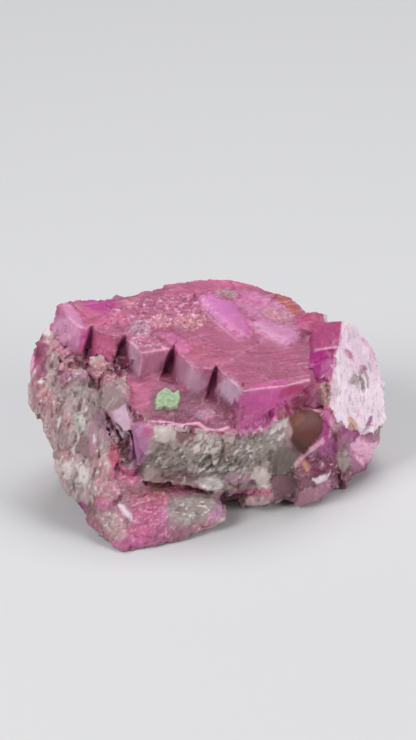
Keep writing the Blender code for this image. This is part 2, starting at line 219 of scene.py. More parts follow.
def facets(places, width, lean, along=DOWN, stretch=1.0):
    """Flat leaning cells: how far each place stands out in millimetres, and a share of painted light, 0 to
    1, higher where the cell leans toward the left light.
    """
    out = np.empty(len(places))
    tone = np.empty(len(places))
    for i, place in enumerate((stretched(places, along, stretch) / width).tolist()):
        middle = noise.voronoi(place)[1][0]
        way = noise.cell_vector(middle * CELL_SPREAD) * 2 - ONES
        out[i] = (Vector(place) - middle).dot(way)
        tone[i] = way.x * 0.5 + 0.5
    return out * width * lean, tone


def crumbs(places, size):
    """Round grains of about this size: 1 at the top of each and 0 between them."""
    found = (noise.voronoi(place)[0][0] for place in (places / size).tolist())
    return 1 - np.minimum(1.0, np.fromiter(found, float, len(places)) / CRUMB_REACH)


def soft(places, size, octaves=3, along=DOWN, stretch=1.0):
    """Soft noise, from about -1 to 1, whose lumps are about this size."""
    squeezed = (stretched(places, along, stretch) / size).tolist()
    return np.array([noise.fractal(place, ROUGHER, FINER, octaves) for place in squeezed])


def ease(low, high, values):
    """0 below low, 1 above high, and a smooth turn between."""
    share = np.clip((values - low) / (high - low), 0.0, 1.0)
    return share * share * (3 - 2 * share)


print("splinters run along", [round(x, 2) for x in DOWN])

# %% [markdown]
# ## A skin for each solid
#
# A CAD node is loose triangles, so a copy of it is merged first. A voxel remesh then
# lays an even fine mesh over it, and each vertex is put back on the nearest place of
# the solid, which keeps the crystal faces flat and their edges sharp. The skin holds
# what later cells read: where each vertex is, the way that its CAD face looks, how far
# it is from the nearest sharp edge, and whether the eye can see it. It can be pushed
# along its normals, softened where it is worn, and pulled onto its neighbour, so that
# no gap shows between two crystals that grew together.

# %% The fine mesh of one piece
MERGE = 0.000002
SHARP = math.radians(28)
EDGE_STEP = 0.00025
FAR = 0.2
FAR_POINT = (9.0, 9.0, 9.0)
FRONT_DEPTH = (1.5, 5.0)
MEET_EDGE = (0.6, 1.0)


class Skin:
    """The fine mesh of one piece, with what its shape and colours are worked out from."""

    def __init__(self, node, name, step):
        shape = bmesh.new()
        shape.from_mesh(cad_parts[node].data)
        bmesh.ops.remove_doubles(shape, verts=shape.verts, dist=MERGE)
        self.node = node
        self.surface = BVHTree.FromBMesh(shape)
        self.sharp = edge_points(shape)
        mesh = bpy.data.meshes.new(name)
        shape.to_mesh(mesh)
        shape.free()
        self.piece = bpy.data.objects.new(name, mesh)
        bpy.context.scene.collection.objects.link(self.piece)
        self.remesh(step)
        self.lay_on_solid()

    def remesh(self, step):
        even = self.piece.modifiers.new("even mesh", "REMESH")
        even.mode = "VOXEL"
        even.voxel_size = step * MM
        graph = bpy.context.evaluated_depsgraph_get()
        fine = bpy.data.meshes.new_from_object(self.piece.evaluated_get(graph))
        self.piece.modifiers.clear()
        self.piece.data = fine

    def lay_on_solid(self):
        """Puts each vertex on the solid, and keeps its face's way, its edge distance and its depth."""
        eye = Vector(TO_EYE)
        rows = []
        for vert in self.piece.data.vertices:
            hit, way, _, _ = self.surface.find_nearest(vert.co)
            first = self.surface.ray_cast(hit + eye * FAR, -eye)[3] or FAR
            rows.append((*hit, *way, self.sharp.find(hit)[2], FAR - first))
        table = np.array(rows)
        self.facing = table[:, 3:6]
        self.edge = table[:, 6] / MM
        self.front = 1 - ease(*FRONT_DEPTH, table[:, 7] / MM)
        self.tint = np.full((len(rows), 3), 0.5)
        self.place_at(table[:, :3] / MM - np.array(ORIGIN))

    def place_at(self, places):
        """Moves the vertices, none of them below the flat base."""
        places[:, 2] = np.maximum(places[:, 2], -VIEW_BASE)
        self.places = places
        self.right, self.down = in_view(places)
        points = (places + np.array(ORIGIN)) * MM
        self.piece.data.vertices.foreach_set("co", points.astype(np.float32).ravel())
        self.piece.data.update()

    def push(self, out):
        """Moves each vertex along its normal, out in millimetres."""
        ways = np.empty(len(self.piece.data.vertices) * 3, np.float32)
        self.piece.data.vertex_normals.foreach_get("vector", ways)
        self.place_at(self.places + ways.reshape(-1, 3) * out[:, None])

    def soften(self, share, times):
        """Wears steps off: where share is above 0, each vertex moves toward its neighbours' mean."""
        ends = np.empty(len(self.piece.data.edges) * 2, np.int32)
        self.piece.data.edges.foreach_get("vertices", ends)
        start, end = ends.reshape(-1, 2).T
        count = np.bincount(ends, minlength=len(share))[:, None]
        for _ in range(times):
            total = np.empty_like(self.places)
            for axis in range(3):
                values = self.places[:, axis]
                total[:, axis] = np.bincount(start, values[end], len(share))
                total[:, axis] += np.bincount(end, values[start], len(share))
            self.place_at(self.places + (total / count - self.places) * share[:, None])

    def meet(self, solid, reach, into=0.25):
        """Pulls the skin that lies within reach of another solid onto it and a little way in."""
        places = self.places.copy()
        for i, place in enumerate(((places + np.array(ORIGIN)) * MM).tolist()):
            hit, way, _, away = solid.find_nearest(place, reach * MM)
            if hit is None or (Vector(place) - hit).dot(way) <= 0 or away == 0:
                continue
            share = 1 - ease(*MEET_EDGE, away / (reach * MM))
            places[i] += np.array(hit - Vector(place)) * share * (1 / MM + into / away)
        self.place_at(places)


def edge_points(shape):
    """Points along the solid's sharp outward edges, to find how near one is."""
    found = []
    for edge in shape.edges:
        if len(edge.link_faces) == 2 and edge.calc_face_angle_signed() > SHARP:
            start, end = (vert.co for vert in edge.verts)
            count = max(1, int((end - start).length / EDGE_STEP))
            found += [start.lerp(end, i / count) for i in range(count + 1)]
    tree = KDTree(len(found) + 1)
    for i, point in enumerate(found):
        tree.insert(point, i)
    tree.insert(FAR_POINT, len(found))
    tree.balance()
    return tree


ROCK_STEP = 0.38
CAP_STEP = 0.27
END_STEP = 0.22
MINT_STEP = 0.13
rock = Skin("matrix", "rock_skin", ROCK_STEP)
cap = Skin("crystal_cap", "cap_skin", CAP_STEP)
end = Skin("end_crystal", "end_skin", END_STEP)
mint = Skin("malachite_patch", "mint_skin", MINT_STEP)
for skin in (rock, cap, end, mint):
    print(skin.piece.name, len(skin.places), "vertices")

# %% [markdown]
# ## Shapes and colours laid where they are seen
#
# Each stain, crystal, lump and crumb is one row of a table. A round one is an oval of
# the view: its middle, half length, half width and turn. A flat broken face or a crystal
# face is a straight-sided outline, and a needle or a pale edge is a stroke. The row ends
# with a height, or with a colour and its strength. A row works only on the stone's
# front, and noise frays its border. Behind, shape and colour come from the same noise
# without rows.

# %% Palette
PALETTE = {
    "white": (226, 216, 216), "white_green": (206, 202, 194), "white_lilac": (230, 210, 222),
    "pale_lilac": (200, 168, 188), "pale_grey": (196, 182, 176), "slab_grey": (178, 154, 154),
    "grey": (154, 136, 134), "green_grey": (148, 136, 128), "dark_grey": (104, 92, 86),
    "specks_green": (74, 74, 58), "brown_grey": (134, 106, 110), "mauve_brown": (128, 94, 98),
    "tan": (200, 152, 120), "cream": (200, 140, 148), "tan_pink": (178, 124, 130),
    "mauve_pink": (156, 92, 120), "dusty": (158, 80, 112), "dusty_red": (172, 80, 110),
    "rose": (184, 84, 124), "rosy": (196, 98, 138), "red_pink": (176, 80, 104), "mauve": (142, 78, 104),
    "ledge_rose": (108, 52, 74), "mauve_pale": (160, 92, 120), "lilac": (168, 110, 148),
    "lilac_grey": (170, 120, 144), "pale_orchid": (192, 126, 166), "orchid": (190, 108, 168),
    "orchid_pink": (186, 94, 142), "magenta": (186, 78, 142), "magenta_deep": (160, 42, 120),
    "wedge_grey": (144, 120, 122), "knob_brown": (112, 78, 86), "lump_white": (232, 178, 204),
    "cream_pale": (208, 152, 162), "mauve_rose": (172, 102, 130), "cavity_tan": (206, 142, 144),
    "knob_lilac": (158, 112, 128), "face_rose": (170, 72, 122), "crevice_shade": (78, 26, 42),
    "red_magenta": (168, 44, 98), "deep_rose": (142, 46, 86), "purple": (148, 70, 122),
    "purple_rose": (122, 58, 84), "maroon": (112, 38, 66), "hole_shade": (92, 34, 54),
    "lump_pink": (216, 154, 184), "edge_pink": (224, 164, 188), "brown": (92, 30, 28),
    "brown_tan": (124, 62, 48), "brown_dark": (64, 38, 34), "orange": (160, 78, 60),
    "mint": (138, 160, 128), "mint_pale": (170, 184, 148), "mint_deep": (104, 136, 104),
    "olive": (120, 92, 78),
}
print(len(PALETTE), "colours")

# %% Ovals, outlines and strokes
FAR_OFF = 99.0
OVAL_EDGE = (0.82, 1.14)
LINE_EDGE = (0.5, 1.3)
SOFT_EDGE = 0.8
SPECK_FRAY = 0.1
SPECK_EDGE = 0.1
SPECK_STRENGTH = 0.8


def linear(colour):
    """A colour of 0 to 255, as light."""
    share = np.array(colour) / 255
    return np.where(share < 0.04045, share / 12.92, ((share + 0.055) / 1.055) ** 2.4)


def paint(skin, mask, colour):
    """Moves the tint toward a colour, all the way where the mask is 1."""
    skin.tint += (linear(PALETTE[colour]) - skin.tint) * mask[:, None]


def spot(skin, right, down, long, wide, turn, fray=0.0):
    """1 inside a turned oval of the view, 0 outside, with a frayed border."""
    along = math.radians(turn)
    u = (skin.right - right) * math.cos(along) + (skin.down - down) * math.sin(along)
    v = (skin.down - down) * math.cos(along) - (skin.right - right) * math.sin(along)
    return (1 - ease(*OVAL_EDGE, np.hypot(u / long, v / wide) + fray)) * skin.front


def off_stroke(skin, start, end):
    """How far each vertex is, in the view, from a straight stroke."""
    (x1, y1), (x2, y2) = start, end
    along = (skin.right - x1) * (x2 - x1) + (skin.down - y1) * (y2 - y1)
    share = np.clip(along / ((x2 - x1) ** 2 + (y2 - y1) ** 2), 0.0, 1.0)
    return np.hypot(skin.right - x1 - share * (x2 - x1), skin.down - y1 - share * (y2 - y1))


def area(skin, outline, fray=0.0, blur=SOFT_EDGE):
    """1 inside a straight-sided outline of the view, with a frayed border blur points soft."""
    inside = np.zeros(len(skin.right), bool)
    away = np.full(len(skin.right), FAR_OFF)
    for (x1, y1), (x2, y2) in zip(outline, outline[1:] + outline[:1]):
        away = np.minimum(away, off_stroke(skin, (x1, y1), (x2, y2)))
        if y1 != y2:
            crosses = (y1 > skin.down) != (y2 > skin.down)
            inside ^= crosses & (skin.right < (x2 - x1) * (skin.down - y1) / (y2 - y1) + x1)
    return ease(-blur, blur, np.where(inside, away, -away) + fray) * skin.front


def summed(skin, rows, fray):
    """Each row's last value, added up over its oval."""
    out = np.zeros(len(skin.right))
    for *oval, amount in rows:
        out += amount * spot(skin, *oval, fray)
    return out


def strongest(skin, rows, fray):
    """Each row's last value inside its oval, and the largest where ovals overlap."""
    out = np.zeros(len(skin.right))
    for *oval, amount in rows:
        out = np.maximum(out, amount * spot(skin, *oval, fray))
    return out


def paint_spots(skin, rows, fray):
    for *oval, colour, strength in rows:
        paint(skin, spot(skin, *oval, fray) * strength, colour)


def paint_clouds(skin, rows, where=1.0, fray=0.0):
    """Noise stains: each row has a colour, strength, the noise's range, size, shift and share of fray."""
    for colour, strength, low, high, size, shift, frayed in rows:
        lumps = soft(skin.places + shift, size) + frayed * fray
        paint(skin, strength * where * ease(low, high, lumps), colour)


def paint_areas(skin, rows, fray, blur=SOFT_EDGE):
    for outline, colour, strength in rows:
        paint(skin, area(skin, outline, fray, blur) * strength, colour)


def paint_specks(skin, rows, along, stretch):
    """Irregular crumbs: each row has an oval, a colour, the crumbs' size and the share they cover."""
    for *oval, colour, size, share in rows:
        lumps = soft(skin.places + size, size, 2, along, stretch)
        level = np.percentile(lumps, 100 - 100 * share)
        crumb = ease(level - SPECK_EDGE, level + SPECK_EDGE, lumps)
        paint(skin, spot(skin, *oval, SPECK_FRAY) * crumb * SPECK_STRENGTH, colour)


def paint_lines(skin, rows, fray):
    """Thin strokes: each row has its points, width, colour, strength and share of the fray."""
    for points, width, colour, strength, frayed in rows:
        away = np.full(len(skin.right), FAR_OFF)
        for one, other in zip(points, points[1:]):
            away = np.minimum(away, off_stroke(skin, one, other))
        line = 1 - ease(*LINE_EDGE, away / width + frayed * fray)
        paint(skin, line * skin.front * strength, colour)


print("an oval fades out between", OVAL_EDGE, "of its half size")

# %% Shifting and filling what the view shows
RIGHTWARD = np.array((1.0, 0.0, 0.0))
UPWARD = np.array((0.0, math.sin(SIGHT_DOWN), math.cos(SIGHT_DOWN)))
RIM_SHARE = 80
FILL_REACH = (10.0, 13.0)


def nudge(skin, rows):
    """Shifts what the view shows: an oval's middle and half sizes, then the shift right and down."""
    for right, down, long, wide, by_right, by_down in rows:
        away = np.hypot((skin.right - right) / long, (skin.down - down) / wide)
        share = (1 - ease(0.0, 1.0, away)) * skin.front / PX_PER_MM
        shift = np.outer(share * by_right, RIGHTWARD) - np.outer(share * by_down, UPWARD)
        skin.place_at(skin.places + shift)


def fill(skin, rows):
    """Brings what lies deeper in an oval than some millimetres below its rim forward to that depth."""
    for *oval, keep in rows:
        depth = skin.places @ TO_EYE
        front = skin.front
        rim = np.percentile(depth[spot(skin, *oval) > 0.5], RIM_SHARE)
        skin.front = 1 - ease(*FILL_REACH, rim - depth)
        share = spot(skin, *oval)
        skin.place_at(skin.places + np.outer(share * np.maximum(0.0, rim - keep - depth), TO_EYE))
        skin.front = np.maximum(front, share)


print("up in the view is", [round(x, 2) for x in UPWARD], "in the frame")

# %% [markdown]
# ## Shader maths as plain expressions
#
# A shader network is arithmetic on sockets. One small class wraps a socket, so that
# an expression such as 0.3 + 0.2 * grains adds the Math nodes by itself, and one method
# adds any other node from its type, settings and inputs.

# %% A socket that can be added and multiplied
class Socket:
    """An output socket that shader maths can be written with."""

    def __init__(self, finish, value):
        self.finish = finish
        self.value = value

    def maths(self, operation, other, turned=False):
        pair = (other, self) if turned else (self, other)
        return self.finish.add("ShaderNodeMath", {"operation": operation}, *pair)

    def __add__(self, other):
        return self.maths("ADD", other)

    def __radd__(self, other):
        return self.maths("ADD", other)

    def __sub__(self, other):
        return self.maths("SUBTRACT", other)

    def __rsub__(self, other):
        return self.maths("SUBTRACT", other, turned=True)

    def __mul__(self, other):
        return self.maths("MULTIPLY", other)

    def __rmul__(self, other):
        return self.maths("MULTIPLY", other)


print("operators:", [name for name in vars(Socket) if name.startswith("__r")])


# %% A finish that adds its own nodes
MIX_INPUTS = (0, 6, 7)
MIX_OUTPUT = 2


class Finish:
    """A material whose nodes are added by expressions."""

    def __init__(self, name):
        self.material = bpy.data.materials.new(name)
        self.material.use_nodes = True
        self.nodes = self.material.node_tree.nodes
        self.surface = self.nodes["Principled BSDF"]
        self.place = self.add("ShaderNodeTexCoord", {}, output="Object")

    def add(self, kind, settings, *values, output=0, **named):
        node = self.nodes.new(kind)
        for name, value in settings.items():
            setattr(node, name, value)
        for key, value in [*enumerate(values), *named.items()]:
            self.plug(node.inputs[key], value)
        return Socket(self, node.outputs[output])

    def plug(self, target, value):
        if isinstance(value, Socket):
            self.material.node_tree.links.new(value.value, target)
        else:
            target.default_value = value

    def attribute(self, name, output="Fac"):
        return self.add("ShaderNodeAttribute", {"attribute_name": name}, output=output)

    def mix(self, factor, first, second, blend="MIX"):
        node = self.nodes.new("ShaderNodeMix")
        node.data_type = "RGBA"
        node.blend_type = blend
        for key, value in zip(MIX_INPUTS, (factor, first, second)):
            self.plug(node.inputs[key], value)
        return Socket(self, node.outputs[MIX_OUTPUT])

    def between(self, value, low, high):
        """0 below low and 1 above high."""
        return self.add(
            "ShaderNodeMapRange", {"interpolation_type": "SMOOTHSTEP"}, value, low, high, 0.0, 1.0)

    def clouds(self, size, detail=3.0, stretch=None):
        """Noise whose lumps are about this size in millimetres."""
        return self.add(
            "ShaderNodeTexNoise", {}, output="Fac", Vector=self.stretched(stretch),
            Scale=1 / (size * MM), Detail=detail)

    def grains(self, size):
        """Voronoi cells of about this size in millimetres, each with a tone of its own."""
        cells = self.add(
            "ShaderNodeTexVoronoi", {}, output="Color", Vector=self.place, Scale=1 / (size * MM))
        return self.add("ShaderNodeSeparateColor", {}, cells)

    def stretched(self, stretch):
        """Object coordinates, turned so that Z runs along a direction and is squeezed there."""
        if stretch is None:
            return self.place
        along, amount = stretch
        turn = Vector(along).rotation_difference(Vector((0, 0, 1))).to_euler()
        turned = self.add("ShaderNodeMapping", {}, Vector=self.place, Rotation=turn)
        return self.add("ShaderNodeMapping", {}, Vector=turned, Scale=(1, 1, 1 / amount))


print("a colour Mix node takes its inputs at", MIX_INPUTS)

# %% [markdown]
# ## The finish of calcite
#
# Calcite is clear in thin pieces, so light goes in, scatters and comes out a little way
# off: a small share of subsurface light, with constant values, gives that glow. The
# colour is the skin's own "tint". Three more attributes say how the surface is worn:
# "grain" for crumbly places that sparkle, "streak" for fibrous ones, whose lines run
# one way or the other as "lie" says, and "gloss" for clean cleavage faces.

# %% Calcite
WHITE_GLINT = (0.86, 0.76, 0.80, 1.0)
DARK_SPECK = (0.10, 0.05, 0.06, 1.0)
GRAIN = 0.62
FINE_GRAIN = 0.34
SOFT_GRAIN = 0.5
FIBRE = 0.60
FIBRE_STRETCH = 9.0
VEIL = 2.6
GLINT = 0.40
SPECK = 0.46
THREAD_RANGE = (0.56, 0.74)
GLINT_RANGE = (0.62, 0.74)
SPECK_RANGE = (0.64, 0.71)
BUMP_DEPTH = 0.18 * MM
GLOW_REACH = (1.0, 0.55, 0.75)
GLOW_DEPTH = 1.4 * MM
CALCITE_IOR = 1.56
CALCITE_SHINE = 0.30


def calcite(name, first_way, second_way, glow):
    """A stone finish whose streaks run one of two ways."""
    finish = Finish(name)
    grain = finish.attribute("grain")
    streak = finish.attribute("streak")
    gloss = finish.attribute("gloss")
    lie = finish.attribute("lie")
    cell = finish.grains(GRAIN)
    fine_cell = finish.grains(FINE_GRAIN)
    first_lines = finish.clouds(FIBRE, 4.0, (first_way, FIBRE_STRETCH))
    second_lines = finish.clouds(FIBRE, 4.0, (second_way, FIBRE_STRETCH))
    lines = first_lines + lie * (second_lines - first_lines)
    veil = finish.clouds(VEIL, 4.0)
    soft_grain = finish.clouds(SOFT_GRAIN, 2.0)
    light = (1.0 + 1.1 * streak * (lines - 0.5) + 0.45 * (veil - 0.5)
             + grain * (0.50 * (cell - 0.5) + 0.36 * (fine_cell - 0.5) + 0.6 * (soft_grain - 0.5)))
    shade = finish.add("ShaderNodeCombineColor", {}, light, light, light)
    toned = finish.mix(1.0, finish.attribute("tint", "Color"), shade, "MULTIPLY")
    threads = finish.between(lines, *THREAD_RANGE) * streak * 0.34
    glints = finish.between(finish.clouds(GLINT, 1.0), *GLINT_RANGE) * grain * 0.55
    specks = finish.between(finish.clouds(SPECK, 1.0), *SPECK_RANGE) * grain * 0.6
    paler = finish.mix(threads, toned, WHITE_GLINT)
    spotted = finish.mix(specks, paler, DARK_SPECK)
    finish.plug(finish.surface.inputs["Base Color"], finish.mix(glints, spotted, WHITE_GLINT))
    rough = 0.52 - 0.28 * gloss - 0.16 * glints + 0.22 * (fine_cell - 0.5) * grain
    finish.plug(finish.surface.inputs["Roughness"], rough)
    height = 0.7 * streak * lines + grain * (0.9 * cell + 0.5 * fine_cell)
    height = height + 0.25 * soft_grain * (1.0 - gloss)
    bumped = finish.add(
        "ShaderNodeBump", {}, output="Normal", Strength=0.6, Distance=BUMP_DEPTH, Height=height)
    finish.plug(finish.surface.inputs["Normal"], bumped)
    finish.surface.inputs["Subsurface Weight"].default_value = glow
    finish.surface.inputs["Subsurface Radius"].default_value = GLOW_REACH
    finish.surface.inputs["Subsurface Scale"].default_value = GLOW_DEPTH
    finish.surface.inputs["IOR"].default_value = CALCITE_IOR
    finish.surface.inputs["Specular IOR Level"].default_value = CALCITE_SHINE
    return finish.material


def dress(skin, finish, slot, crease, **wear):
    """Stores colours and wear on the mesh, gives it its finish, and puts it in its node's place."""
    mesh = skin.piece.data
    tint = mesh.attributes.new("tint", "FLOAT_COLOR", "POINT")
    colours = np.ones((len(skin.tint), 4), np.float32)
    colours[:, :3] = np.clip(skin.tint, 0.0, 1.0)
    tint.data.foreach_set("color", colours.ravel())
    for name, values in wear.items():
        stored = mesh.attributes.new(name, "FLOAT", "POINT")
        stored.data.foreach_set("value", np.clip(values, 0.0, 1.0).astype(np.float32))
    mesh.materials.clear()
    mesh.materials.append(finish)
    mesh.shade_smooth()
    mesh.set_sharp_from_angle(angle=math.radians(crease))
    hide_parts(skin.node)
    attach(skin.piece, "root")
    mesh.calc_loop_triangles()
    print(skin.piece.name, len(mesh.loop_triangles), "triangles")


# %% [markdown]
# ## The rock
#
# Three sizes of break cells go over the rock. The left slab splits into long splinters
# that run down, and the front band into flatter ones. Where the drusy crystals grow,
# the surface is a heap of grains. The brown cleavage face and the larger flat breaks
# stay calm. The solid's crevices are straight and deep, so a few are shifted or filled
# first, to follow the ragged ones of the stone.

# %% Rows for the rock's shape
ROCK_MOVES = (
    (112, 352, 24, 30, 2, 13), (113, 440, 14, 34, 6, 0), (66, 340, 22, 14, 0, 4),
    (38, 332, 16, 18, -2, 5), (330, 324, 12, 14, 0, -9), (307, 418, 24, 15, 0, -8),
)
ROCK_FILLS = (
    (108, 412, 26, 12, 62, 0.9), (120, 440, 26, 14, 75, 1.2), (127, 458, 16, 12, 90, 1.3),
    (95, 378, 16, 12, 85, 1.8), (122, 368, 14, 9, 90, 1.6), (107, 420, 10, 8, 50, 0.9),
    (115, 470, 9, 8, 90, 0.9), (271, 415, 9, 8, -30, 0.5),
)
ROCK_LUMPS = (
    (163, 434, 12, 9, 0, 0.3), (205, 443, 16, 11, 0, 0.4), (362, 449, 10, 7, 30, 0.2),
    (369, 459, 8, 9, -30, 0.2), (331, 424, 17, 3, 50, 0.5), (303, 456, 18, 3, -45, 0.4),
    (320, 465, 14, 7, 0, -0.5), (320, 480, 8, 4, -20, 0.15), (329, 443, 8, 9, 0, -0.4),
    (310, 499, 14, 9, -20, 0.4), (78, 387, 7, 7, 0, 0.4), (74, 474, 14, 9, 30, 0.4),
    (262, 478, 8, 8, 0, 0.4), (125, 511, 3, 9, -38, 0.35), (113, 425, 17, 2.0, 57, -0.6),
)
GRAINY_PLACES = (
    (62, 356, 14, 15, 20, 1.0), (66, 378, 12, 9, 0, 1.0), (108, 373, 15, 13, 0, 1.0),
    (45, 393, 14, 14, 60, 0.5), (125, 478, 20, 8, 10, 0.5), (210, 484, 12, 7, 0, 0.6),
    (150, 500, 24, 8, 0, 0.7), (110, 525, 18, 12, 30, 0.4), (310, 462, 18, 10, 0, 0.15),
)
CALM_PLACES = (
    (308, 431, 25, 23, 55, 1.0), (52, 363, 13, 7, 95, 0.8), (187, 434, 12, 10, -10, 0.7),
    (192, 509, 24, 13, -5, 0.7), (118, 414, 22, 10, 62, 0.5), (330, 440, 10, 14, -10, 0.6),
    (320, 464, 18, 8, 0, 0.6), (36, 360, 32, 8, 100, 0.8), (50, 327, 12, 7, -65, 0.9),
    (310, 499, 13, 9, -15, 0.5), (148, 472, 10, 8, 0, 0.5), (175, 477, 22, 6, 0, 0.5),
    (142, 445, 8, 20, 95, 0.6),
)
ROCK_FACETS = (
    # the left slab
    ([(48, 350), (56, 352), (58, 362), (56, 374), (50, 378), (46, 368)], "grey", 0.9),
    ([(71, 382), (80, 379), (85, 388), (82, 397), (74, 398), (70, 390)], "grey", 0.35),
    ([(72, 413), (79, 411), (86, 418), (84, 428), (80, 437), (75, 430)], "white_green", 0.9),
    ([(73, 441), (80, 434), (89, 434), (92, 445), (88, 457), (80, 454), (73, 448)], "brown_grey", 0.95),
    ([(88, 422), (96, 425), (98, 440), (94, 456), (89, 450), (88, 434)], "lilac_grey", 0.75),
    ([(61, 466), (70, 460), (81, 463), (89, 470), (88, 481),
       (80, 488), (70, 484), (63, 475)], "white", 0.4),
    # the wedge beside the slab
    ([(98, 391), (113, 381), (126, 398), (124, 408), (113, 412), (104, 405)], "wedge_grey", 0.9),
    ([(113, 412), (126, 404), (132, 416), (130, 428), (122, 438), (116, 428)], "pale_lilac", 0.8),
    ([(131, 424), (144, 419), (151, 430), (147, 448), (141, 466), (134, 458), (130, 440)], "lilac", 0.85),
    ([(144, 419), (152, 424), (151, 434), (146, 440)], "rose", 0.6),
    # the front band
    ([(154, 426), (170, 424), (178, 427), (176, 437), (165, 443), (156, 440)], "pale_grey", 0.9),
    ([(178, 427), (187, 424), (200, 424), (198, 433), (193, 443),
       (180, 444), (176, 437)], "mauve_brown", 0.95),
    ([(200, 427), (216, 431), (223, 440), (214, 455), (197, 453), (192, 444)], "pale_grey", 0.75),
    ([(268, 456), (284, 445), (297, 451), (301, 462), (292, 473), (276, 475)], "dark_grey", 0.85),
    ([(270, 476), (284, 475), (297, 480), (294, 495), (280, 497), (272, 488)], "knob_brown", 0.9),
    ([(254, 468), (264, 467), (270, 476), (267, 488), (257, 487), (252, 477)], "pale_grey", 0.9),
    ([(196, 478), (207, 476), (222, 481), (224, 489), (210, 491), (200, 487)], "white", 0.55),
    # the foot
    ([(168, 497), (190, 495), (215, 495), (217, 508), (205, 521),
       (190, 524), (172, 528), (167, 512)], "grey", 0.7),
    ([(133, 507), (166, 503), (168, 526), (150, 531), (136, 528)], "orchid_pink", 0.4),
    ([(97, 514), (112, 511), (124, 520), (127, 536), (118, 541), (105, 531)], "slab_grey", 0.6),
    ([(116, 503), (120, 502), (131, 513), (133, 521), (127, 517)], "white_lilac", 0.9),
    # the right knob
    ([(303, 459), (318, 455), (338, 458), (340, 468), (330, 477),
       (312, 479), (302, 471)], "purple_rose", 0.9),
    ([(322, 431), (330, 434), (338, 444), (337, 456), (322, 456), (318, 447)], "purple", 0.75),
    ([(339, 453), (348, 452), (354, 466), (345, 473), (339, 468)], "grey", 0.85),
    ([(343, 436), (358, 432), (374, 434), (390, 440), (384, 462),
       (370, 476), (356, 474), (350, 458)], "lilac", 0.5),
    ([(352, 446), (360, 439), (371, 444), (380, 443), (377, 457),
       (369, 461), (366, 470), (359, 461)], "lump_white", 0.9),
    ([(312, 479), (321, 477), (332, 474), (327, 481), (318, 485)], "white", 0.8),
    ([(299, 492), (312, 488), (323, 492), (318, 504), (306, 510), (298, 503)], "knob_lilac", 0.85),
    # painted shade: the recess above the brown face is painted deep rose
    ([(274, 421), (276, 403), (297, 392), (316, 380), (324, 399), (322, 413),
       (308, 409), (296, 411), (287, 417)], "deep_rose", 1.0),
)
print(len(ROCK_FACETS), "flat breaks,", len(ROCK_LUMPS), "lumps and", len(ROCK_FILLS), "filled places")

# %% Shape of the rock
SLAB_END = (116, 140)
FOOT_TOP = (470, 500)
FOOT_END = (225, 240)
BAND_SPLIT = unit(0.80, 0.25, 0.55)

# Each kind of break: its cells' width and lean, the way they stretch and how far
BIG_BREAKS = (4.6, 0.13, DOWN, 1.8)
SLAB_SPLINTERS = (2.4, 0.16, DOWN, 2.2)
BAND_SPLINTERS = (2.2, 0.22, BAND_SPLIT, 2.0)
SMALL_BREAKS = (1.1, 0.13, DOWN, 1.6)
ROCK_SINK = 0.05
BIG_CRUMB = 1.3
SMALL_CRUMB = 0.8
ROCK_TO_CAP = 1.2
ROCK_TO_END = 1.4

rock_fray = 0.28 * soft(rock.places, 1.1) + 0.12 * soft(rock.places, 0.5, 2)
nudge(rock, ROCK_MOVES)
fill(rock, ROCK_FILLS)
rock_grainy = strongest(rock, GRAINY_PLACES, rock_fray)
rock_calm = strongest(rock, CALM_PLACES, 0.5 * rock_fray)
for outline, _, amount in ROCK_FACETS:
    rock_calm = np.maximum(rock_calm, 0.9 * amount * area(rock, outline, 4 * rock_fray))
rock_wild = 1 - rock_calm
on_slab = 1 - ease(*SLAB_END, rock.right)
on_foot = ease(*FOOT_TOP, rock.down) * (1 - ease(*FOOT_END, rock.right))
big_out, big_lean_light = facets(rock.places, *BIG_BREAKS)
slab_out, slab_lean_light = facets(rock.places, *SLAB_SPLINTERS)
band_out, band_lean_light = facets(rock.places, *BAND_SPLINTERS)
small_out, small_lean_light = facets(rock.places, *SMALL_BREAKS)
split_out = slab_out * on_slab + band_out * (1 - on_slab)
split_lean_light = slab_lean_light * on_slab + band_lean_light * (1 - on_slab)
heap = crumbs(rock.places, BIG_CRUMB) * 0.7 + crumbs(rock.places + 20.0, SMALL_CRUMB) * 0.35
rock_out = (big_out + split_out + small_out) * rock_wild * (1 - 0.4 * on_foot) + heap * rock_grainy
rock_out += 0.10 * soft(rock.places, 0.7, 2) * rock_wild
rock_out += summed(rock, ROCK_LUMPS, 0.8 * rock_fray) - ROCK_SINK
rock.push(rock_out)
rock.meet(cap.surface, ROCK_TO_CAP)
rock.meet(end.surface, ROCK_TO_END)
print("rock moved by", round(rock_out.min(), 2), "to", round(rock_out.max(), 2), "mm")
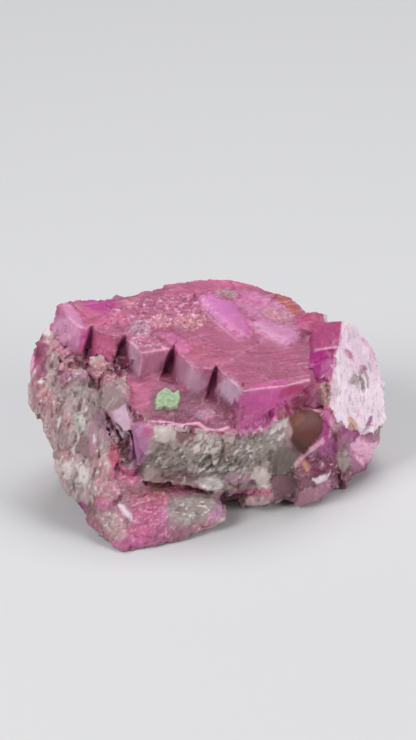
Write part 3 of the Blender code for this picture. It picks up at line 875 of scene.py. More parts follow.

# %% [markdown]
# ## The colours of the rock
#
# The ground colours come first, then the stains and grains of each part, then the flat
# breaks, each with one colour of its own, and last the pale edges and the specks. Some
# rows are painted shade, in the crevices and in the recess above the brown face, and one
# white spot is a painted highlight. Each break cell is then made lighter or darker by its
# lean, as painted light. On the back the same colours come from noise alone.

# %% Rows for the rock's colours
ROCK_PATCHES = (
    # the ground colours of slab, band, foot and knob
    (72, 430, 88, 36, 68, "slab_grey", 0.8), (215, 462, 84, 34, 0, "green_grey", 0.7),
    (150, 520, 70, 36, -5, "mauve_pink", 0.7), (330, 465, 55, 38, -20, "purple_rose", 0.75),
    # the slab's left edge and top
    (38, 356, 24, 14, 75, "mauve", 1.0), (33, 368, 16, 5, 80, "rose", 0.35),
    (31, 362, 26, 2.6, 100, "lump_pink", 0.75), (37, 350, 10, 5, 80, "maroon", 0.75),
    (44, 346, 6, 4, 10, "maroon", 0.6), (36, 386, 14, 6, 75, "mauve_pink", 0.5),
    (44, 349, 7, 6, 30, "mauve", 0.8), (63, 358, 18, 17, 20, "tan_pink", 0.9),
    (68, 352, 10, 8, 20, "mauve_pink", 0.6), (52, 363, 13, 6, 95, "grey", 0.85),
    (48, 327, 10, 5, -65, "white", 0.9), (330, 318, 7, 7, 0, "white", 0.95),
    (118, 297, 9, 4, 0, "mauve_pink", 0.9),
    # the druse on the slab, and painted shade in the crevice beside it and at a notch's foot
    (64, 378, 12, 9, 0, "mauve_pink", 0.7), (84, 376, 6, 8, 20, "lilac_grey", 0.8),
    (78, 388, 8, 7, 0, "white_green", 0.35), (81, 365, 13, 3.5, 8, "maroon", 0.9),
    (95, 379, 12, 5, 70, "maroon", 0.9), (106, 373, 16, 14, 0, "tan_pink", 0.85),
    (120, 364, 7, 14, 0, "maroon", 1.0),
    # the slab's face
    (44, 398, 14, 12, 60, "tan_pink", 0.7), (60, 420, 14, 12, 60, "tan_pink", 0.5),
    (80, 424, 13, 5, 100, "white_green", 0.75), (82, 445, 13, 8, 80, "brown_grey", 0.85),
    (65, 454, 12, 8, 60, "tan_pink", 0.5), (75, 474, 18, 10, 35, "pale_grey", 0.85),
    (100, 472, 26, 8, 80, "tan_pink", 0.55),
    # the wedge, and painted shade along its crevices
    (104, 425, 18, 6, 65, "lilac_grey", 0.8), (115, 454, 13, 7, 90, "red_pink", 0.9),
    (117, 404, 26, 13, 65, "lilac_grey", 0.6), (112, 399, 15, 10, 50, "grey", 0.85),
    (122, 421, 15, 6, 68, "pale_lilac", 0.9), (113, 425, 20, 1.8, 57, "maroon", 0.85),
    (127, 448, 15, 9, 85, "crevice_shade", 1.0), (140, 443, 26, 9, 98, "lilac", 0.85),
    (147, 430, 10, 6, 60, "rose", 0.5), (132, 436, 10, 3, 100, "maroon", 0.5),
    (140, 410, 12, 14, 0, "rose", 0.7), (126, 474, 18, 8, 10, "rosy", 0.8),
    # the front band
    (148, 471, 10, 9, 0, "grey", 0.85), (175, 477, 26, 7, 0, "mauve_brown", 0.6),
    (170, 488, 34, 5, 5, "red_pink", 0.5), (206, 444, 17, 12, 0, "pale_grey", 0.8),
    (187, 434, 12, 8, -10, "mauve_brown", 0.95), (182, 461, 34, 8, 5, "dark_grey", 0.35),
    # the white spot at (283, 424) is a painted highlight, a glint
    (268, 436, 26, 15, -35, "green_grey", 0.6), (283, 424, 12, 4, -25, "white", 0.55),
    (283, 466, 17, 13, -40, "dark_grey", 0.75), (240, 480, 14, 7, 0, "lilac_grey", 0.6),
    (213, 484, 12, 6, 0, "white", 0.5), (255, 493, 26, 4, -2, "rose", 0.7),
    # under the band
    (158, 491, 9, 5, 20, "olive", 0.8), (125, 484, 18, 7, 0, "rosy", 0.4),
    (120, 492, 26, 8, 0, "tan_pink", 0.4),
    # the foot
    (152, 500, 22, 8, -3, "red_pink", 0.7), (150, 516, 20, 12, -3, "dusty_red", 0.7),
    (163, 514, 6, 9, 0, "pale_orchid", 0.8), (140, 540, 30, 7, -12, "magenta", 0.55),
    (145, 530, 26, 5, -8, "rosy", 0.7), (192, 509, 24, 14, -5, "green_grey", 0.95),
    (202, 527, 8, 5, -10, "tan_pink", 0.7), (213, 515, 7, 6, 0, "pale_orchid", 0.8),
    (220, 503, 5, 12, 10, "lilac", 0.7), (112, 525, 18, 12, 30, "tan_pink", 0.6),
    # the dark spot at (118, 500) is painted shade in a small hollow
    (118, 500, 7, 3, -40, "hole_shade", 0.9), (102, 502, 11, 5, 10, "rosy", 0.6),
    (80, 508, 6, 7, 60, "purple", 0.9), (91, 509, 5, 10, 0, "olive", 0.5),
    # the right knob, with painted shade in the recess above the brown face
    (298, 402, 20, 12, -35, "deep_rose", 0.95), (313, 403, 13, 8, -10, "deep_rose", 0.8),
    (329, 415, 11, 7, 20, "orchid_pink", 0.9), (353, 431, 15, 11, 10, "magenta_deep", 0.6),
    (329, 444, 11, 12, 0, "purple", 0.7), (321, 465, 20, 11, 0, "purple_rose", 0.9),
    (347, 461, 8, 10, -20, "grey", 0.6), (364, 452, 14, 12, 40, "lump_pink", 0.4),
    (371, 456, 8, 6, -50, "white_lilac", 0.6), (288, 493, 16, 13, 0, "knob_brown", 0.9),
    (311, 499, 12, 9, -15, "knob_lilac", 0.75), (329, 488, 10, 8, -30, "lilac_grey", 0.7),
    (311, 477, 6, 6, 0, "maroon", 0.5),
)
BROWN_OUTLINE = [
    (289, 418), (297, 409), (309, 408), (320, 413), (325, 421), (324, 431), (318, 441), (311, 447),
    (305, 454), (297, 450), (291, 441), (293, 430),
]
BROWN_FACE = (
    (296, 420, 10, 6, -30, "brown_tan", 0.7), (327, 429, 3.5, 14, 0, "magenta_deep", 0.9),
)
# painted shade: the facet above the brown face lies in a recess and is painted maroon, and its gloss is
# lowered
SHADE_ABOVE_BROWN = [(290, 410), (297, 400), (310, 398), (323, 403), (324, 410), (308, 408), (297, 411)]
BROWN_ENDS = (
    ([(288, 436), (299, 438), (311, 446), (306, 456), (294, 452)], "brown_dark", 0.7),
    (SHADE_ABOVE_BROWN, "maroon", 0.85),
)
SLAB_SPECKS = (
    (72, 430, 88, 36, 68, "white", 1.0, 0.06), (60, 410, 60, 26, 68, "maroon", 0.6, 0.06),
    (80, 450, 60, 26, 80, "brown_grey", 1.6, 0.15), (62, 360, 16, 18, 20, "maroon", 0.7, 0.22),
    (62, 366, 16, 22, 20, "edge_pink", 0.8, 0.12), (106, 373, 16, 14, 0, "edge_pink", 0.7, 0.22),
    (106, 373, 16, 14, 0, "maroon", 0.7, 0.15), (110, 525, 20, 14, 20, "white", 0.7, 0.14),
    (150, 525, 34, 20, 0, "edge_pink", 0.6, 0.08),
)
LEVEL_SPECKS = (
    (150, 517, 22, 14, 0, "lump_pink", 0.30, 0.12), (150, 541, 30, 8, -10, "deep_rose", 0.35, 0.15),
    (192, 509, 22, 12, 0, "white", 0.35, 0.12), (190, 510, 22, 13, 0, "dark_grey", 0.4, 0.08),
    (365, 454, 13, 14, 0, "rosy", 0.5, 0.25), (365, 454, 13, 14, 0, "lump_white", 0.5, 0.15),
    (120, 484, 30, 12, 0, "edge_pink", 0.5, 0.14), (115, 524, 18, 12, 0, "dark_grey", 0.5, 0.12),
)
BAND_SPECKS = (
    (200, 458, 62, 20, 0, "specks_green", 0.8, 0.20), (200, 462, 70, 24, 0, "white", 0.9, 0.08),
    (158, 455, 10, 7, 0, "specks_green", 0.7, 0.35), (208, 463, 12, 8, 0, "specks_green", 0.8, 0.45),
    (212, 484, 14, 7, 0, "white", 0.8, 0.3), (265, 440, 30, 18, -30, "white", 0.9, 0.12),
    (320, 480, 34, 24, 0, "edge_pink", 0.8, 0.05), (150, 502, 24, 9, 0, "edge_pink", 0.7, 0.15),
    (240, 450, 60, 26, 0, "dark_grey", 1.0, 0.12),
)
LEDGE_RIM = [
    (150, 421), (169, 422), (178, 425), (198, 423), (208, 430), (219, 430), (228, 427), (237, 434),
    (250, 432), (264, 431), (275, 421),
]
BIG_FACE_LOW = [(234, 430), (262, 408), (276, 402), (277, 418), (264, 431), (250, 434), (240, 437)]
BROWN_RIM = [(316, 411), (325, 417), (336, 427), (330, 435), (322, 443), (312, 450)]
ROCK_LINES = (
    (LEDGE_RIM, 2.4, "edge_pink", 0.6, 3.0),
    ([(200, 470), (214, 470), (226, 468), (243, 471)], 2.0, "white", 0.6, 1.0),
    (BROWN_RIM, 2.6, "edge_pink", 0.75, 1.0),
    ([(296, 466), (303, 457), (312, 449)], 2.6, "edge_pink", 0.6, 1.0),
    ([(305, 463), (308, 469)], 3.0, "tan", 0.7, 1.0),
    # the maroon stroke under the band is painted shade in the crevice there
    ([(146, 484), (175, 488), (209, 493)], 2.2, "maroon", 0.7, 1.0),
)
print(len(ROCK_PATCHES), "stains and", len(ROCK_LINES), "lines")

# %% Colours of the rock
ROCK_CLOUDS = (
    ("tan_pink", 0.5, -0.1, 0.55, 8.0, 0.0, 0.0), ("brown_grey", 0.5, 0.1, 0.7, 5.0, 40.0, 0.0),
    ("mauve_pink", 0.6, 0.25, 0.6, 6.0, 70.0, 0.0),
)
BACK_CLOUDS = (
    ("mauve_pink", 0.8, 0.15, 0.4, 7.0, 90.0, 0.5), ("pale_grey", 0.7, 0.30, 0.5, 6.0, 120.0, 0.5),
    ("dark_grey", 0.6, 0.30, 0.5, 4.0, 150.0, 0.0),
)
BROWN_END_EDGE = 3.0
ABOVE_BROWN_EDGE = 4.0
ROCK_GLOW = 0.14
ROCK_CREASE = 24
rock.tint[:] = linear(PALETTE["slab_grey"])
paint_clouds(rock, ROCK_CLOUDS)
paint_clouds(rock, BACK_CLOUDS, 1 - rock.front, rock_fray)
paint_spots(rock, ROCK_PATCHES, rock_fray)
paint_areas(rock, ROCK_FACETS, 5 * rock_fray)
paint(rock, area(rock, BIG_FACE_LOW, 5 * rock_fray), "magenta")
paint_lines(rock, ROCK_LINES, rock_fray)
paint_specks(rock, SLAB_SPECKS, DOWN, 2.2)
paint_specks(rock, BAND_SPECKS, BAND_SPLIT, 2.5)
paint_specks(rock, LEVEL_SPECKS, RIGHTWARD, 5.0)
paint(rock, area(rock, BROWN_OUTLINE, 2 * rock_fray), "brown")
paint_spots(rock, BROWN_FACE, 0.4 * rock_fray)
paint_areas(rock, BROWN_ENDS, 3 * rock_fray, BROWN_END_EDGE)
# Painted light: each break cell's colour is made lighter or darker by the way it leans, except on calm
# faces.
facet_painted_light = 0.60 + 0.26 * big_lean_light + 0.32 * split_lean_light + 0.14 * small_lean_light
rock.tint *= (facet_painted_light + (1 - facet_painted_light) * rock_calm)[:, None]
above_brown = area(rock, SHADE_ABOVE_BROWN, 0.0, ABOVE_BROWN_EDGE)
dress(
    rock, calcite("grey_calcite", DOWN, BAND_SPLIT, ROCK_GLOW), "grey_calcite", ROCK_CREASE,
    grain=0.20 + 0.5 * rock_grainy - 0.20 * rock_calm,
    streak=(0.45 + 0.3 * small_lean_light) * rock_wild + 0.06,
    lie=1 - on_slab, gloss=0.3 + 0.35 * rock_calm - 0.6 * above_brown)

# %% [markdown]
# ## The pink cap
#
# The cap's faces are true crystal faces, so they stay nearly flat: low steps whose edges
# run along the crystal, fine lines, chipped and paler edges. Parts of the top are rough
# with crumbs. One bright orchid crystal and one pale lilac one lie in the top, worn
# down until they are almost level with it, so the solid's steps are softened there.

# %% Rows for the cap's shape
ORCHID_CRYSTAL = [
    (197, 297), (210, 292), (222, 298), (236, 304), (243, 316), (250, 323), (248, 337), (236, 337),
    (222, 323), (207, 312),
]
LILAC_CRYSTAL = [(250, 323), (260, 319), (281, 323), (300, 330), (300, 339), (288, 346), (266, 337)]
ROUGH_PLACES = (
    (190, 321, 17, 10, 0, 0.9), (160, 321, 13, 9, 0, 0.9), (139, 328, 13, 10, 0, 0.9),
    (225, 293, 22, 7, 5, 0.8), (276, 316, 22, 8, 25, 0.6), (165, 303, 34, 9, -10, 0.7),
    (120, 328, 22, 12, 0, 0.5), (195, 418, 40, 8, 5, 0.5), (285, 310, 12, 8, 30, 0.7),
    (205, 345, 26, 8, 20, 0.4), (150, 341, 22, 9, 12, 0.45), (280, 372, 30, 12, -5, 0.3),
    (205, 400, 14, 10, 0, 0.3),
)
CAP_LUMPS = (
    (206, 415, 11, 6, 0, 0.45), (245, 411, 20, 6, -20, -0.15), (178, 342, 16, 6, 32, 0.25),
    (312, 321, 9, 7, 0, 0.3), (205, 378, 4, 8, 20, -0.2),
)
WORN_PLACES = (
    (232, 315, 36, 22, 45, 1.0), (278, 334, 32, 16, 15, 1.0), (262, 308, 26, 12, 25, 0.8),
    (160, 310, 54, 12, -5, 0.6), (190, 338, 32, 8, 20, 0.5),
)
CAP_MOVES = (
    (284, 300, 34, 16, 1, -3.5), (75, 300, 24, 10, -1, -2),
)
CAP_FILLS = (
    (171, 366, 18, 9, 100, 2.4), (214, 386, 16, 8, 105, 1.5), (92, 346, 15, 8, 95, 1.6),
    (123, 360, 20, 9, 100, 1.6),
)
LEDGE_WALL = [(120, 380), (150, 417), (200, 420), (238, 430), (244, 446), (236, 448), (140, 436), (116, 400)]
print(len(ROUGH_PLACES), "rough places and", len(CAP_LUMPS), "lumps")

# %% Shape of the cap
TOP_WAY = unit(0.167, -0.0927, 1.0)
LEDGE_WAY = unit(0.072, -0.42, 1.0)
SAME_WAY = (0.90, 0.97)
WALL_WAY = (0.5, 0.8)
WORN_PASSES = 40

# Each kind of step: its cells' width and lean, the way they stretch and how far
LONG_STEPS = (3.6, 0.035, ALONG, 2.4)
FINE_STEPS = (1.6, 0.05, ALONG, 2.6)
SIDE_STEPS = (2.2, 0.05, DOWN, 2.6)
ROUGH_STEPS = (0.9, 0.32, ALONG, 1.3)
STEP_RISE = 0.04
CHIP_WIDTH = 0.45
CHIP_DEPTH = 0.32
ORCHID_EDGE = 3.5
LILAC_EDGE = 3.0
CAP_TO_ROCK = 0.7
CREVICE_REACH = 2.2

nudge(cap, CAP_MOVES)
fill(cap, CAP_FILLS)
cap_fray = 0.22 * soft(cap.places, 1.2) + 0.10 * soft(cap.places, 0.5, 2)
on_top = ease(*SAME_WAY, cap.facing @ TOP_WAY)
on_ledge = ease(*SAME_WAY, cap.facing @ LEDGE_WAY)
ledge_wall = (1 - ease(*WALL_WAY, cap.facing @ LEDGE_WAY)) * area(cap, LEDGE_WALL)
cap_rough = strongest(cap, ROUGH_PLACES, cap_fray)
cap.soften(strongest(cap, WORN_PLACES, 0.0), WORN_PASSES)
cap_rough = np.maximum(cap_rough, 0.06 + 0.3 * ledge_wall)
orchid = area(cap, ORCHID_CRYSTAL, 6 * cap_fray, ORCHID_EDGE)
lilac = area(cap, LILAC_CRYSTAL, 6 * cap_fray, LILAC_EDGE)
clean = np.maximum(orchid, lilac)

step_out, step_lean_light = facets(cap.places, *LONG_STEPS)
fine_out, fine_lean_light = facets(cap.places, *FINE_STEPS)
side_out = facets(cap.places, *SIDE_STEPS)[0]
rough_out, rough_lean_light = facets(cap.places, *ROUGH_STEPS)
cap_out = (step_out + fine_out) * on_top * (1 - clean) + side_out * (1 - on_top)
cap_out += STEP_RISE * (step_lean_light > 0.5) * on_top * (1 - clean)
cap_out += cap_rough * (1 - clean) * (rough_out + 0.28 * crumbs(cap.places, SMALL_CRUMB) - 0.1)
cap_out += 0.5 * ledge_wall * soft(cap.places, 1.5, 3) + summed(cap, CAP_LUMPS, cap_fray)
chip = ease(-0.05, 0.5, soft(cap.places, 1.1, 2)) * np.exp(-cap.edge / CHIP_WIDTH)
cap.push(cap_out - CHIP_DEPTH * chip)
cap.meet(rock.surface, CAP_TO_ROCK)
cap.meet(end.surface, CREVICE_REACH)
print("cap moved by", round(cap_out.min(), 2), "to", round(cap_out.max(), 2), "mm")

# %% [markdown]
# ## The colours of the cap
#
# The cap goes from dusty rose on the top to magenta on the clean faces. The notches get
# painted shade: each has a dark maroon outline with a soft border, because the light fades
# slowly into it, and each edge that catches the light gets a painted highlight, a pale line.

# %% Rows for the cap's colours
CAP_PATCHES = (
    # the ground colours and the first crystals on the left
    (160, 318, 74, 26, 5, "dusty", 0.5), (255, 364, 66, 26, 5, "dusty", 0.75),
    (205, 352, 22, 10, 20, "dusty_red", 0.5),
    (97, 304, 16, 6, 0, "magenta_deep", 0.7), (98, 316, 30, 9, 8, "rose", 0.7),
    (72, 314, 20, 4.5, 52, "pale_orchid", 0.85), (66, 332, 20, 15, 60, "pale_orchid", 0.85),
    (64, 330, 12, 14, 60, "lump_white", 0.35),
    # the steps' fronts, partly painted light: left faces, turned to the main light, paler lilac and right
    # faces deeper pink
    (85, 342, 5, 15, 0, "magenta", 0.8), (106, 347, 15, 13, 0, "rosy", 0.75),
    (112, 338, 16, 4, 8, "dusty_red", 0.6), (134, 360, 8, 20, -8, "lilac_grey", 0.9),
    (134, 357, 5, 15, -8, "pale_lilac", 0.3), (155, 363, 15, 14, 0, "mauve_rose", 0.9),
    (183, 372, 10, 19, -35, "lilac_grey", 0.85), (203, 384, 9, 10, 0, "lilac_grey", 0.4),
    (229, 391, 13, 20, -35, "lilac_grey", 0.7), (231, 393, 11, 17, -35, "pale_lilac", 0.7),
    # the big face and the ledge
    (262, 405, 36, 20, -25, "magenta", 0.95), (291, 391, 14, 5, -20, "red_magenta", 0.8),
    (245, 422, 13, 7, -20, "orchid_pink", 0.6), (190, 411, 54, 22, 6, "ledge_rose", 0.8),
    (150, 386, 16, 8, 30, "deep_rose", 0.3), (136, 396, 14, 14, 40, "rose", 0.7),
    (205, 415, 12, 6, 0, "lilac_grey", 0.7),
    # the back edge and the rough places
    (265, 308, 36, 14, 25, "pale_orchid", 0.65), (252, 299, 18, 6, 20, "orchid_pink", 0.7),
    (278, 316, 16, 7, 20, "tan_pink", 0.5), (288, 302, 18, 4, 38, "orange", 0.85),
    (235, 281, 38, 4, 4, "rosy", 0.6), (226, 292, 12, 4, 5, "green_grey", 0.6),
    (190, 321, 16, 9, 0, "cream", 0.5), (160, 321, 11, 7, 0, "cream", 0.45),
    (139, 328, 12, 9, 0, "lilac_grey", 0.75), (176, 342, 17, 6, 32, "orchid_pink", 0.85),
    # painted shade: dark spots for small holes, which are not cut, and for the notches
    (243, 385, 1.6, 2.2, 0, "hole_shade", 0.9), (195, 298, 2.0, 3.0, 0, "hole_shade", 0.9),
    (92, 346, 4, 13, 0, "deep_rose", 0.3), (123, 358, 5, 19, -14, "maroon", 0.9),
    (170, 366, 4, 14, 22, "deep_rose", 0.9), (213, 384, 4, 12, 15, "deep_rose", 0.9),
    (226, 414, 3.5, 8, -30, "maroon", 0.8),
    # the corner beside the end crystal
    (313, 321, 13, 9, 10, "rose", 0.8), (309, 318, 6, 4, 0, "red_magenta", 0.7),
    (324, 314, 5, 4, 0, "red_magenta", 0.6),
    (303, 365, 6, 12, 20, "mauve", 0.4),
)
# Painted shade: a dark maroon outline in each notch, with a soft border.
NOTCH_SHADES = (
    ([(125, 338), (128, 350), (131, 362), (134, 375), (126, 379),
       (116, 374), (114, 363), (119, 351)], "maroon", 0.85),
    ([(173, 350), (175, 362), (176, 374), (178, 386), (166, 388),
       (158, 384), (158, 374), (164, 363)], "maroon", 0.85),
    ([(215, 368), (217, 378), (216, 388), (213, 398), (206, 398),
       (203, 391), (207, 381), (211, 374)], "maroon", 0.42),
)
CAP_FACETS = (
    # partly painted light: the first outline makes the left face of a step paler
    ([(190, 362), (203, 373), (206, 383), (200, 395), (190, 394), (185, 380)], "pale_lilac", 0.35),
    ([(80, 300), (111, 297), (115, 307), (104, 313), (90, 309)], "magenta_deep", 1.0),
    ([(161, 333), (176, 337), (192, 344), (190, 351), (176, 349), (166, 341)], "orchid_pink", 0.7),
    ([(285, 386), (300, 383), (304, 390), (288, 396)], "red_magenta", 0.7),
    ([(123, 304), (127, 301), (136, 298), (135, 302), (130, 306)], "cavity_tan", 0.6),
    ([(200, 410), (208, 407), (216, 411), (214, 419), (204, 420), (197, 416)], "lilac_grey", 0.6),
)
CAP_SPECKS = (
    (190, 321, 17, 10, 0, "cream_pale", 0.5, 0.30), (160, 321, 13, 9, 0, "cream_pale", 0.5, 0.25),
    (139, 328, 13, 10, 0, "pale_lilac", 0.5, 0.25), (152, 341, 24, 9, 12, "pale_lilac", 0.5, 0.14),
    (160, 308, 60, 16, -5, "lump_pink", 0.7, 0.15), (160, 318, 70, 22, 0, "maroon", 0.6, 0.07),
    (250, 365, 60, 24, 0, "deep_rose", 0.6, 0.08), (280, 314, 20, 8, 20, "tan_pink", 0.8, 0.3),
    (195, 412, 50, 14, 5, "mauve_pale", 0.8, 0.12),
)
# painted highlights: pale lines on the edges that catch the light
CAP_LINES = (
    (LEDGE_RIM[:7], 1.5, "edge_pink", 0.8, 3.0),
    ([(127, 340), (136, 347), (142, 357), (139, 375)], 1.3, "lump_pink", 0.6, 1.0),
    ([(142, 353), (158, 350), (172, 348)], 1.2, "edge_pink", 0.5, 1.0),
    ([(244, 391), (262, 388), (285, 386), (309, 380)], 1.0, "edge_pink", 0.6, 1.0),
    ([(206, 313), (222, 327), (238, 341)], 0.8, "lump_pink", 0.3, 1.0),
)
print(len(CAP_PATCHES), "stains and", len(CAP_LINES), "lines")

# %% Colours of the cap
CAP_CLOUDS = (
    ("rosy", 0.45, -0.4, 0.6, 6.0, 0.0, 0.0), ("mauve", 0.35, 0.2, 0.8, 3.0, 30.0, 0.0),
)
NOTCH_SHADE_EDGE = 4.5
FACE_EDGE = 3.0
PALE_EDGE = 0.25
CAP_GLOW = 0.16
CAP_CREASE = 32
ORCHID_FADE = (304, 336)
LINED_SIDE = (270, 300)
cap.tint[:] = linear(PALETTE["dusty"])
paint_clouds(cap, CAP_CLOUDS)
paint_spots(cap, CAP_PATCHES, cap_fray)
paint_areas(cap, NOTCH_SHADES, 4 * cap_fray, NOTCH_SHADE_EDGE)
paint_areas(cap, CAP_FACETS, 8 * cap_fray, FACE_EDGE)
paint(cap, 0.9 * orchid, "orchid")
paint(cap, 0.6 * orchid * ease(*ORCHID_FADE, cap.down), "orchid_pink")
paint(cap, 0.85 * lilac, "pale_orchid")
paint_specks(cap, CAP_SPECKS, ALONG, 1.3)
paint(cap, 0.85 * ledge_wall * ease(-0.3, 0.1, soft(cap.places, 2.0)), "pale_grey")
paint_lines(cap, CAP_LINES, cap_fray)
paint(cap, 0.40 * np.exp(-cap.edge / PALE_EDGE) * ease(-0.3, 0.3, soft(cap.places, 2.2)), "lump_pink")
# Painted light: steps and rough cells are made lighter or darker by the way they lean, except on the two
# worn crystals.
cap_painted_light = 0.90 + 0.10 * step_lean_light * on_top + 0.08 * fine_lean_light + 0.30 * cap_rough * (rough_lean_light - 0.5)
cap.tint *= (cap_painted_light + (1 - cap_painted_light) * clean)[:, None]
top_streak = (0.12 + 0.4 * ease(*LINED_SIDE, cap.right)) * on_top
dress(
    cap, calcite("pink_calcite", ALONG, DOWN, CAP_GLOW), "pink_calcite", CAP_CREASE,
    grain=0.9 * cap_rough + 0.04,
    streak=(0.18 + top_streak - 0.15 * cap_rough) * (1 - 0.4 * clean),
    lie=1 - np.maximum(on_top, on_ledge), gloss=0.35 + 0.3 * clean - 0.3 * cap_rough)

# %% [markdown]
# ## The broken end crystal
#
# A fresh break across calcite is pale and uneven, with shallow bites and a few deeper
# pits. The two sides that still have their crystal faces are smooth and magenta.

# %% Rows for the end crystal's shape
BREAK_OUTLINE = [
    (343, 319), (358, 324), (394, 350), (398, 425), (384, 436), (372, 440), (364, 436), (358, 430),
    (345, 425), (337, 414), (331, 406), (333, 392), (333, 373), (335, 355), (340, 346),
]
PITS = (
    (355, 379, 5, 4, -30, 0.35), (363, 384, 2.6, 8, -15, 0.7), (368, 380, 2.0, 9, -12, 0.5),
    (364, 370, 5, 4, -40, 0.4), (350, 354, 5, 2.5, 50, 0.5), (365, 368, 5, 2.5, 20, 0.3),
    (370, 423, 2.2, 7, 25, 0.4), (354, 424, 7, 4, 50, 0.4), (324, 392, 7, 15, -5, 0.9),
    (331, 354, 4, 5, 0, 0.3),
)
print(len(PITS), "pits")

# %% Shape of the end crystal
END_WAY = unit(0.764, -0.576, 0.29)
BROKEN_WAY = 0.93
SEEN_WAY = 0.1
BITES = (3.2, 0.09, DOWN, 1.5)
END_FIBRES = (1.1, 0.15, DOWN, 2.4)
FACE_STEPS = (2.6, 0.05)
END_CHIP_WIDTH = 0.6
END_CHIP_DEPTH = 0.55
END_TO_ROCK = 1.2

end_fray = 0.22 * soft(end.places, 1.1) + 0.10 * soft(end.places, 0.5, 2)
toward_end = end.facing @ END_WAY
in_outline = area(end, BREAK_OUTLINE, 3 * end_fray)
on_break = np.maximum(toward_end > BROKEN_WAY, (toward_end > SEEN_WAY) * in_outline)
bite_out, bite_lean_light = facets(end.places, *BITES)
fibre_out, fibre_lean_light = facets(end.places, *END_FIBRES)
end_out = on_break * (bite_out + fibre_out + 0.10 * soft(end.places, 1.4, 4))
end_out += (1 - on_break) * facets(end.places, *FACE_STEPS)[0] - summed(end, PITS, end_fray)
end_chip = ease(-0.2, 0.4, soft(end.places, 1.2, 3)) * np.exp(-end.edge / END_CHIP_WIDTH)
end.push(end_out - END_CHIP_DEPTH * end_chip)
end.meet(rock.surface, END_TO_ROCK)
end.meet(cap.surface, CREVICE_REACH)
print("end moved by", round(end_out.min(), 2), "to", round(end_out.max(), 2), "mm")

# %% Rows for the end crystal's colours
END_PATCHES = (
    (361, 380, 11, 11, 40, "pale_grey", 0.35), (372, 348, 34, 26, 60, "pale_lilac", 0.35),
    (350, 354, 6, 2.6, 50, "lump_pink", 0.95), (365, 368, 5, 2.5, 20, "lump_pink", 0.8),
    (369, 342, 7, 4, 45, "lump_pink", 0.5), (377, 356, 8, 4, 60, "lump_pink", 0.45),
    (371, 423, 2.2, 7, 25, "purple", 0.8), (360, 413, 1.4, 7, 20, "lump_pink", 0.7),
    (354, 424, 8, 3.5, 52, "tan", 0.8), (325, 392, 9, 16, -5, "cavity_tan", 0.9),
    (321, 398, 4, 10, 0, "mauve_brown", 0.6), (326, 384, 3, 7, 0, "olive", 0.6),
    (331, 396, 1.5, 10, 0, "white", 0.9), (336, 388, 3, 10, 0, "pale_grey", 0.6),
    (328, 336, 14, 14, 0, "rose", 0.9), (323, 363, 14, 14, 0, "magenta_deep", 0.95),
    # painted shade: the two maroon strips at the left edge darken the join with the cap
    (312, 345, 3, 14, 0, "maroon", 0.7), (312, 373, 3, 8, 0, "maroon", 0.6),
)
END_FACETS = (
    ([(311, 350), (325, 348), (338, 347), (335, 357), (333, 374),
       (330, 382), (318, 384), (311, 374)], "magenta_deep", 0.9),
    ([(329, 351), (334, 352), (333, 359), (329, 357)], "red_magenta", 0.8),
    ([(314, 324), (342, 321), (340, 345), (326, 347), (313, 350)], "face_rose", 0.8),
    ([(350, 382), (354, 375), (361, 371), (366, 365), (369, 369),
       (362, 376), (360, 384), (353, 386)], "grey", 0.7),
    ([(361, 375), (366, 379), (367, 389), (363, 391), (360, 384)], "dark_grey", 0.6),
    ([(368, 372), (371, 380), (370, 389), (368, 384)], "grey", 0.7),
    ([(347, 349), (353, 353), (356, 362), (351, 360)], "lump_pink", 0.8),
    ([(361, 366), (369, 367), (366, 371)], "lump_pink", 0.6),
)
PIT_NEEDLES = (
    ([(359, 373), (362, 384), (363, 394)], 0.9, "white", 0.8, 0.0),
    ([(364, 371), (367, 381), (368, 391)], 0.9, "white", 0.8, 0.0),
    ([(354, 385), (360, 390)], 0.9, "white", 0.8, 0.0),
)
END_EDGES = (
    ([(316, 350), (328, 348), (338, 347)], 1.4, "edge_pink", 0.7, 1.0),
    ([(344, 321), (340, 346), (335, 355), (333, 392)], 1.0, "edge_pink", 0.5, 1.0),
)
END_SPECKS = (
    (362, 385, 40, 60, 0, "pale_lilac", 0.8, 0.10), (325, 390, 9, 16, 0, "white", 0.6, 0.25),
)
print(len(END_PATCHES), "stains and", len(PIT_NEEDLES), "needles")

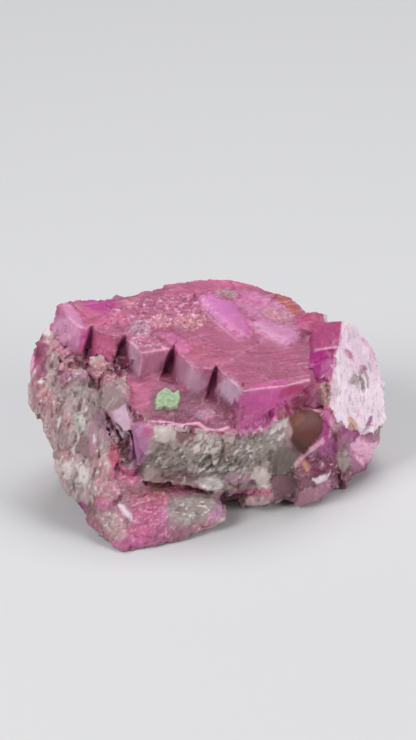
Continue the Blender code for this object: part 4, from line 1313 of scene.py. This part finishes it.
# %% Colours of the end crystal
END_CLOUDS = (("lilac_grey", 0.5, 0.0, 0.6, 5.0, 0.0, 0.0),)
END_GLOW = 0.22
END_CREASE = 32
end.tint[:] = linear(PALETTE["rose"])
paint_clouds(end, END_CLOUDS)
paint(end, on_break, "white_lilac")
paint_spots(end, END_PATCHES, end_fray)
paint_areas(end, END_FACETS, 5 * end_fray)
paint_lines(end, PIT_NEEDLES + END_EDGES, end_fray)
paint_specks(end, END_SPECKS, DOWN, 2.5)
# Painted light: on the break, bites and fibres are made lighter or darker by the way they lean.
end.tint *= (0.93 + on_break * (0.08 * fibre_lean_light + 0.05 * bite_lean_light))[:, None]
dress(
    end, calcite("broken_calcite", DOWN, DOWN, END_GLOW), "broken_calcite", END_CREASE,
    grain=0.04 + 0.10 * on_break, streak=0.15 + 0.06 * on_break, lie=np.zeros(len(end.right)),
    gloss=0.45 - 0.1 * on_break)

# %% [markdown]
# ## The mint patch
#
# Malachite lies on the ledge as a thin crust with a paler rim and tiny round bumps. It
# is lowered onto the ledge by the gap that the solids keep.

# %% Mint patch
MINT_CLOUDS = (("mint_deep", 0.6, 0.0, 0.6, 1.2, 0.0, 0.0),)
MINT_GAP = 0.4
MINT_GLOW = 0.05
MINT_CREASE = 38
PALE_RIM = 0.25
mint_grain = crumbs(mint.places, 0.7)
mint_fray = 0.2 * soft(mint.places, 0.6)
mint.push(0.16 * mint_grain + 0.05 * soft(mint.places, 1.5, 2) - 0.1)
mint.place_at(mint.places - LEDGE_WAY * MINT_GAP)
mint.tint[:] = linear(PALETTE["mint"])
paint_clouds(mint, MINT_CLOUDS)
paint(mint, 0.5 * ease(0.3, 0.7, mint_grain), "mint_pale")
paint(mint, 0.7 * np.exp(-mint.edge / PALE_RIM), "mint_pale")
paint(mint, 0.8 * spot(mint, 166, 409, 4, 3, 0, mint_fray), "olive")
even = np.ones(len(mint.right))
dress(
    mint, calcite("malachite", ALONG, DOWN, MINT_GLOW), "malachite", MINT_CREASE,
    grain=0.3 * even, streak=0.0 * even, lie=0.0 * even, gloss=0.1 * even)

# %% [markdown]
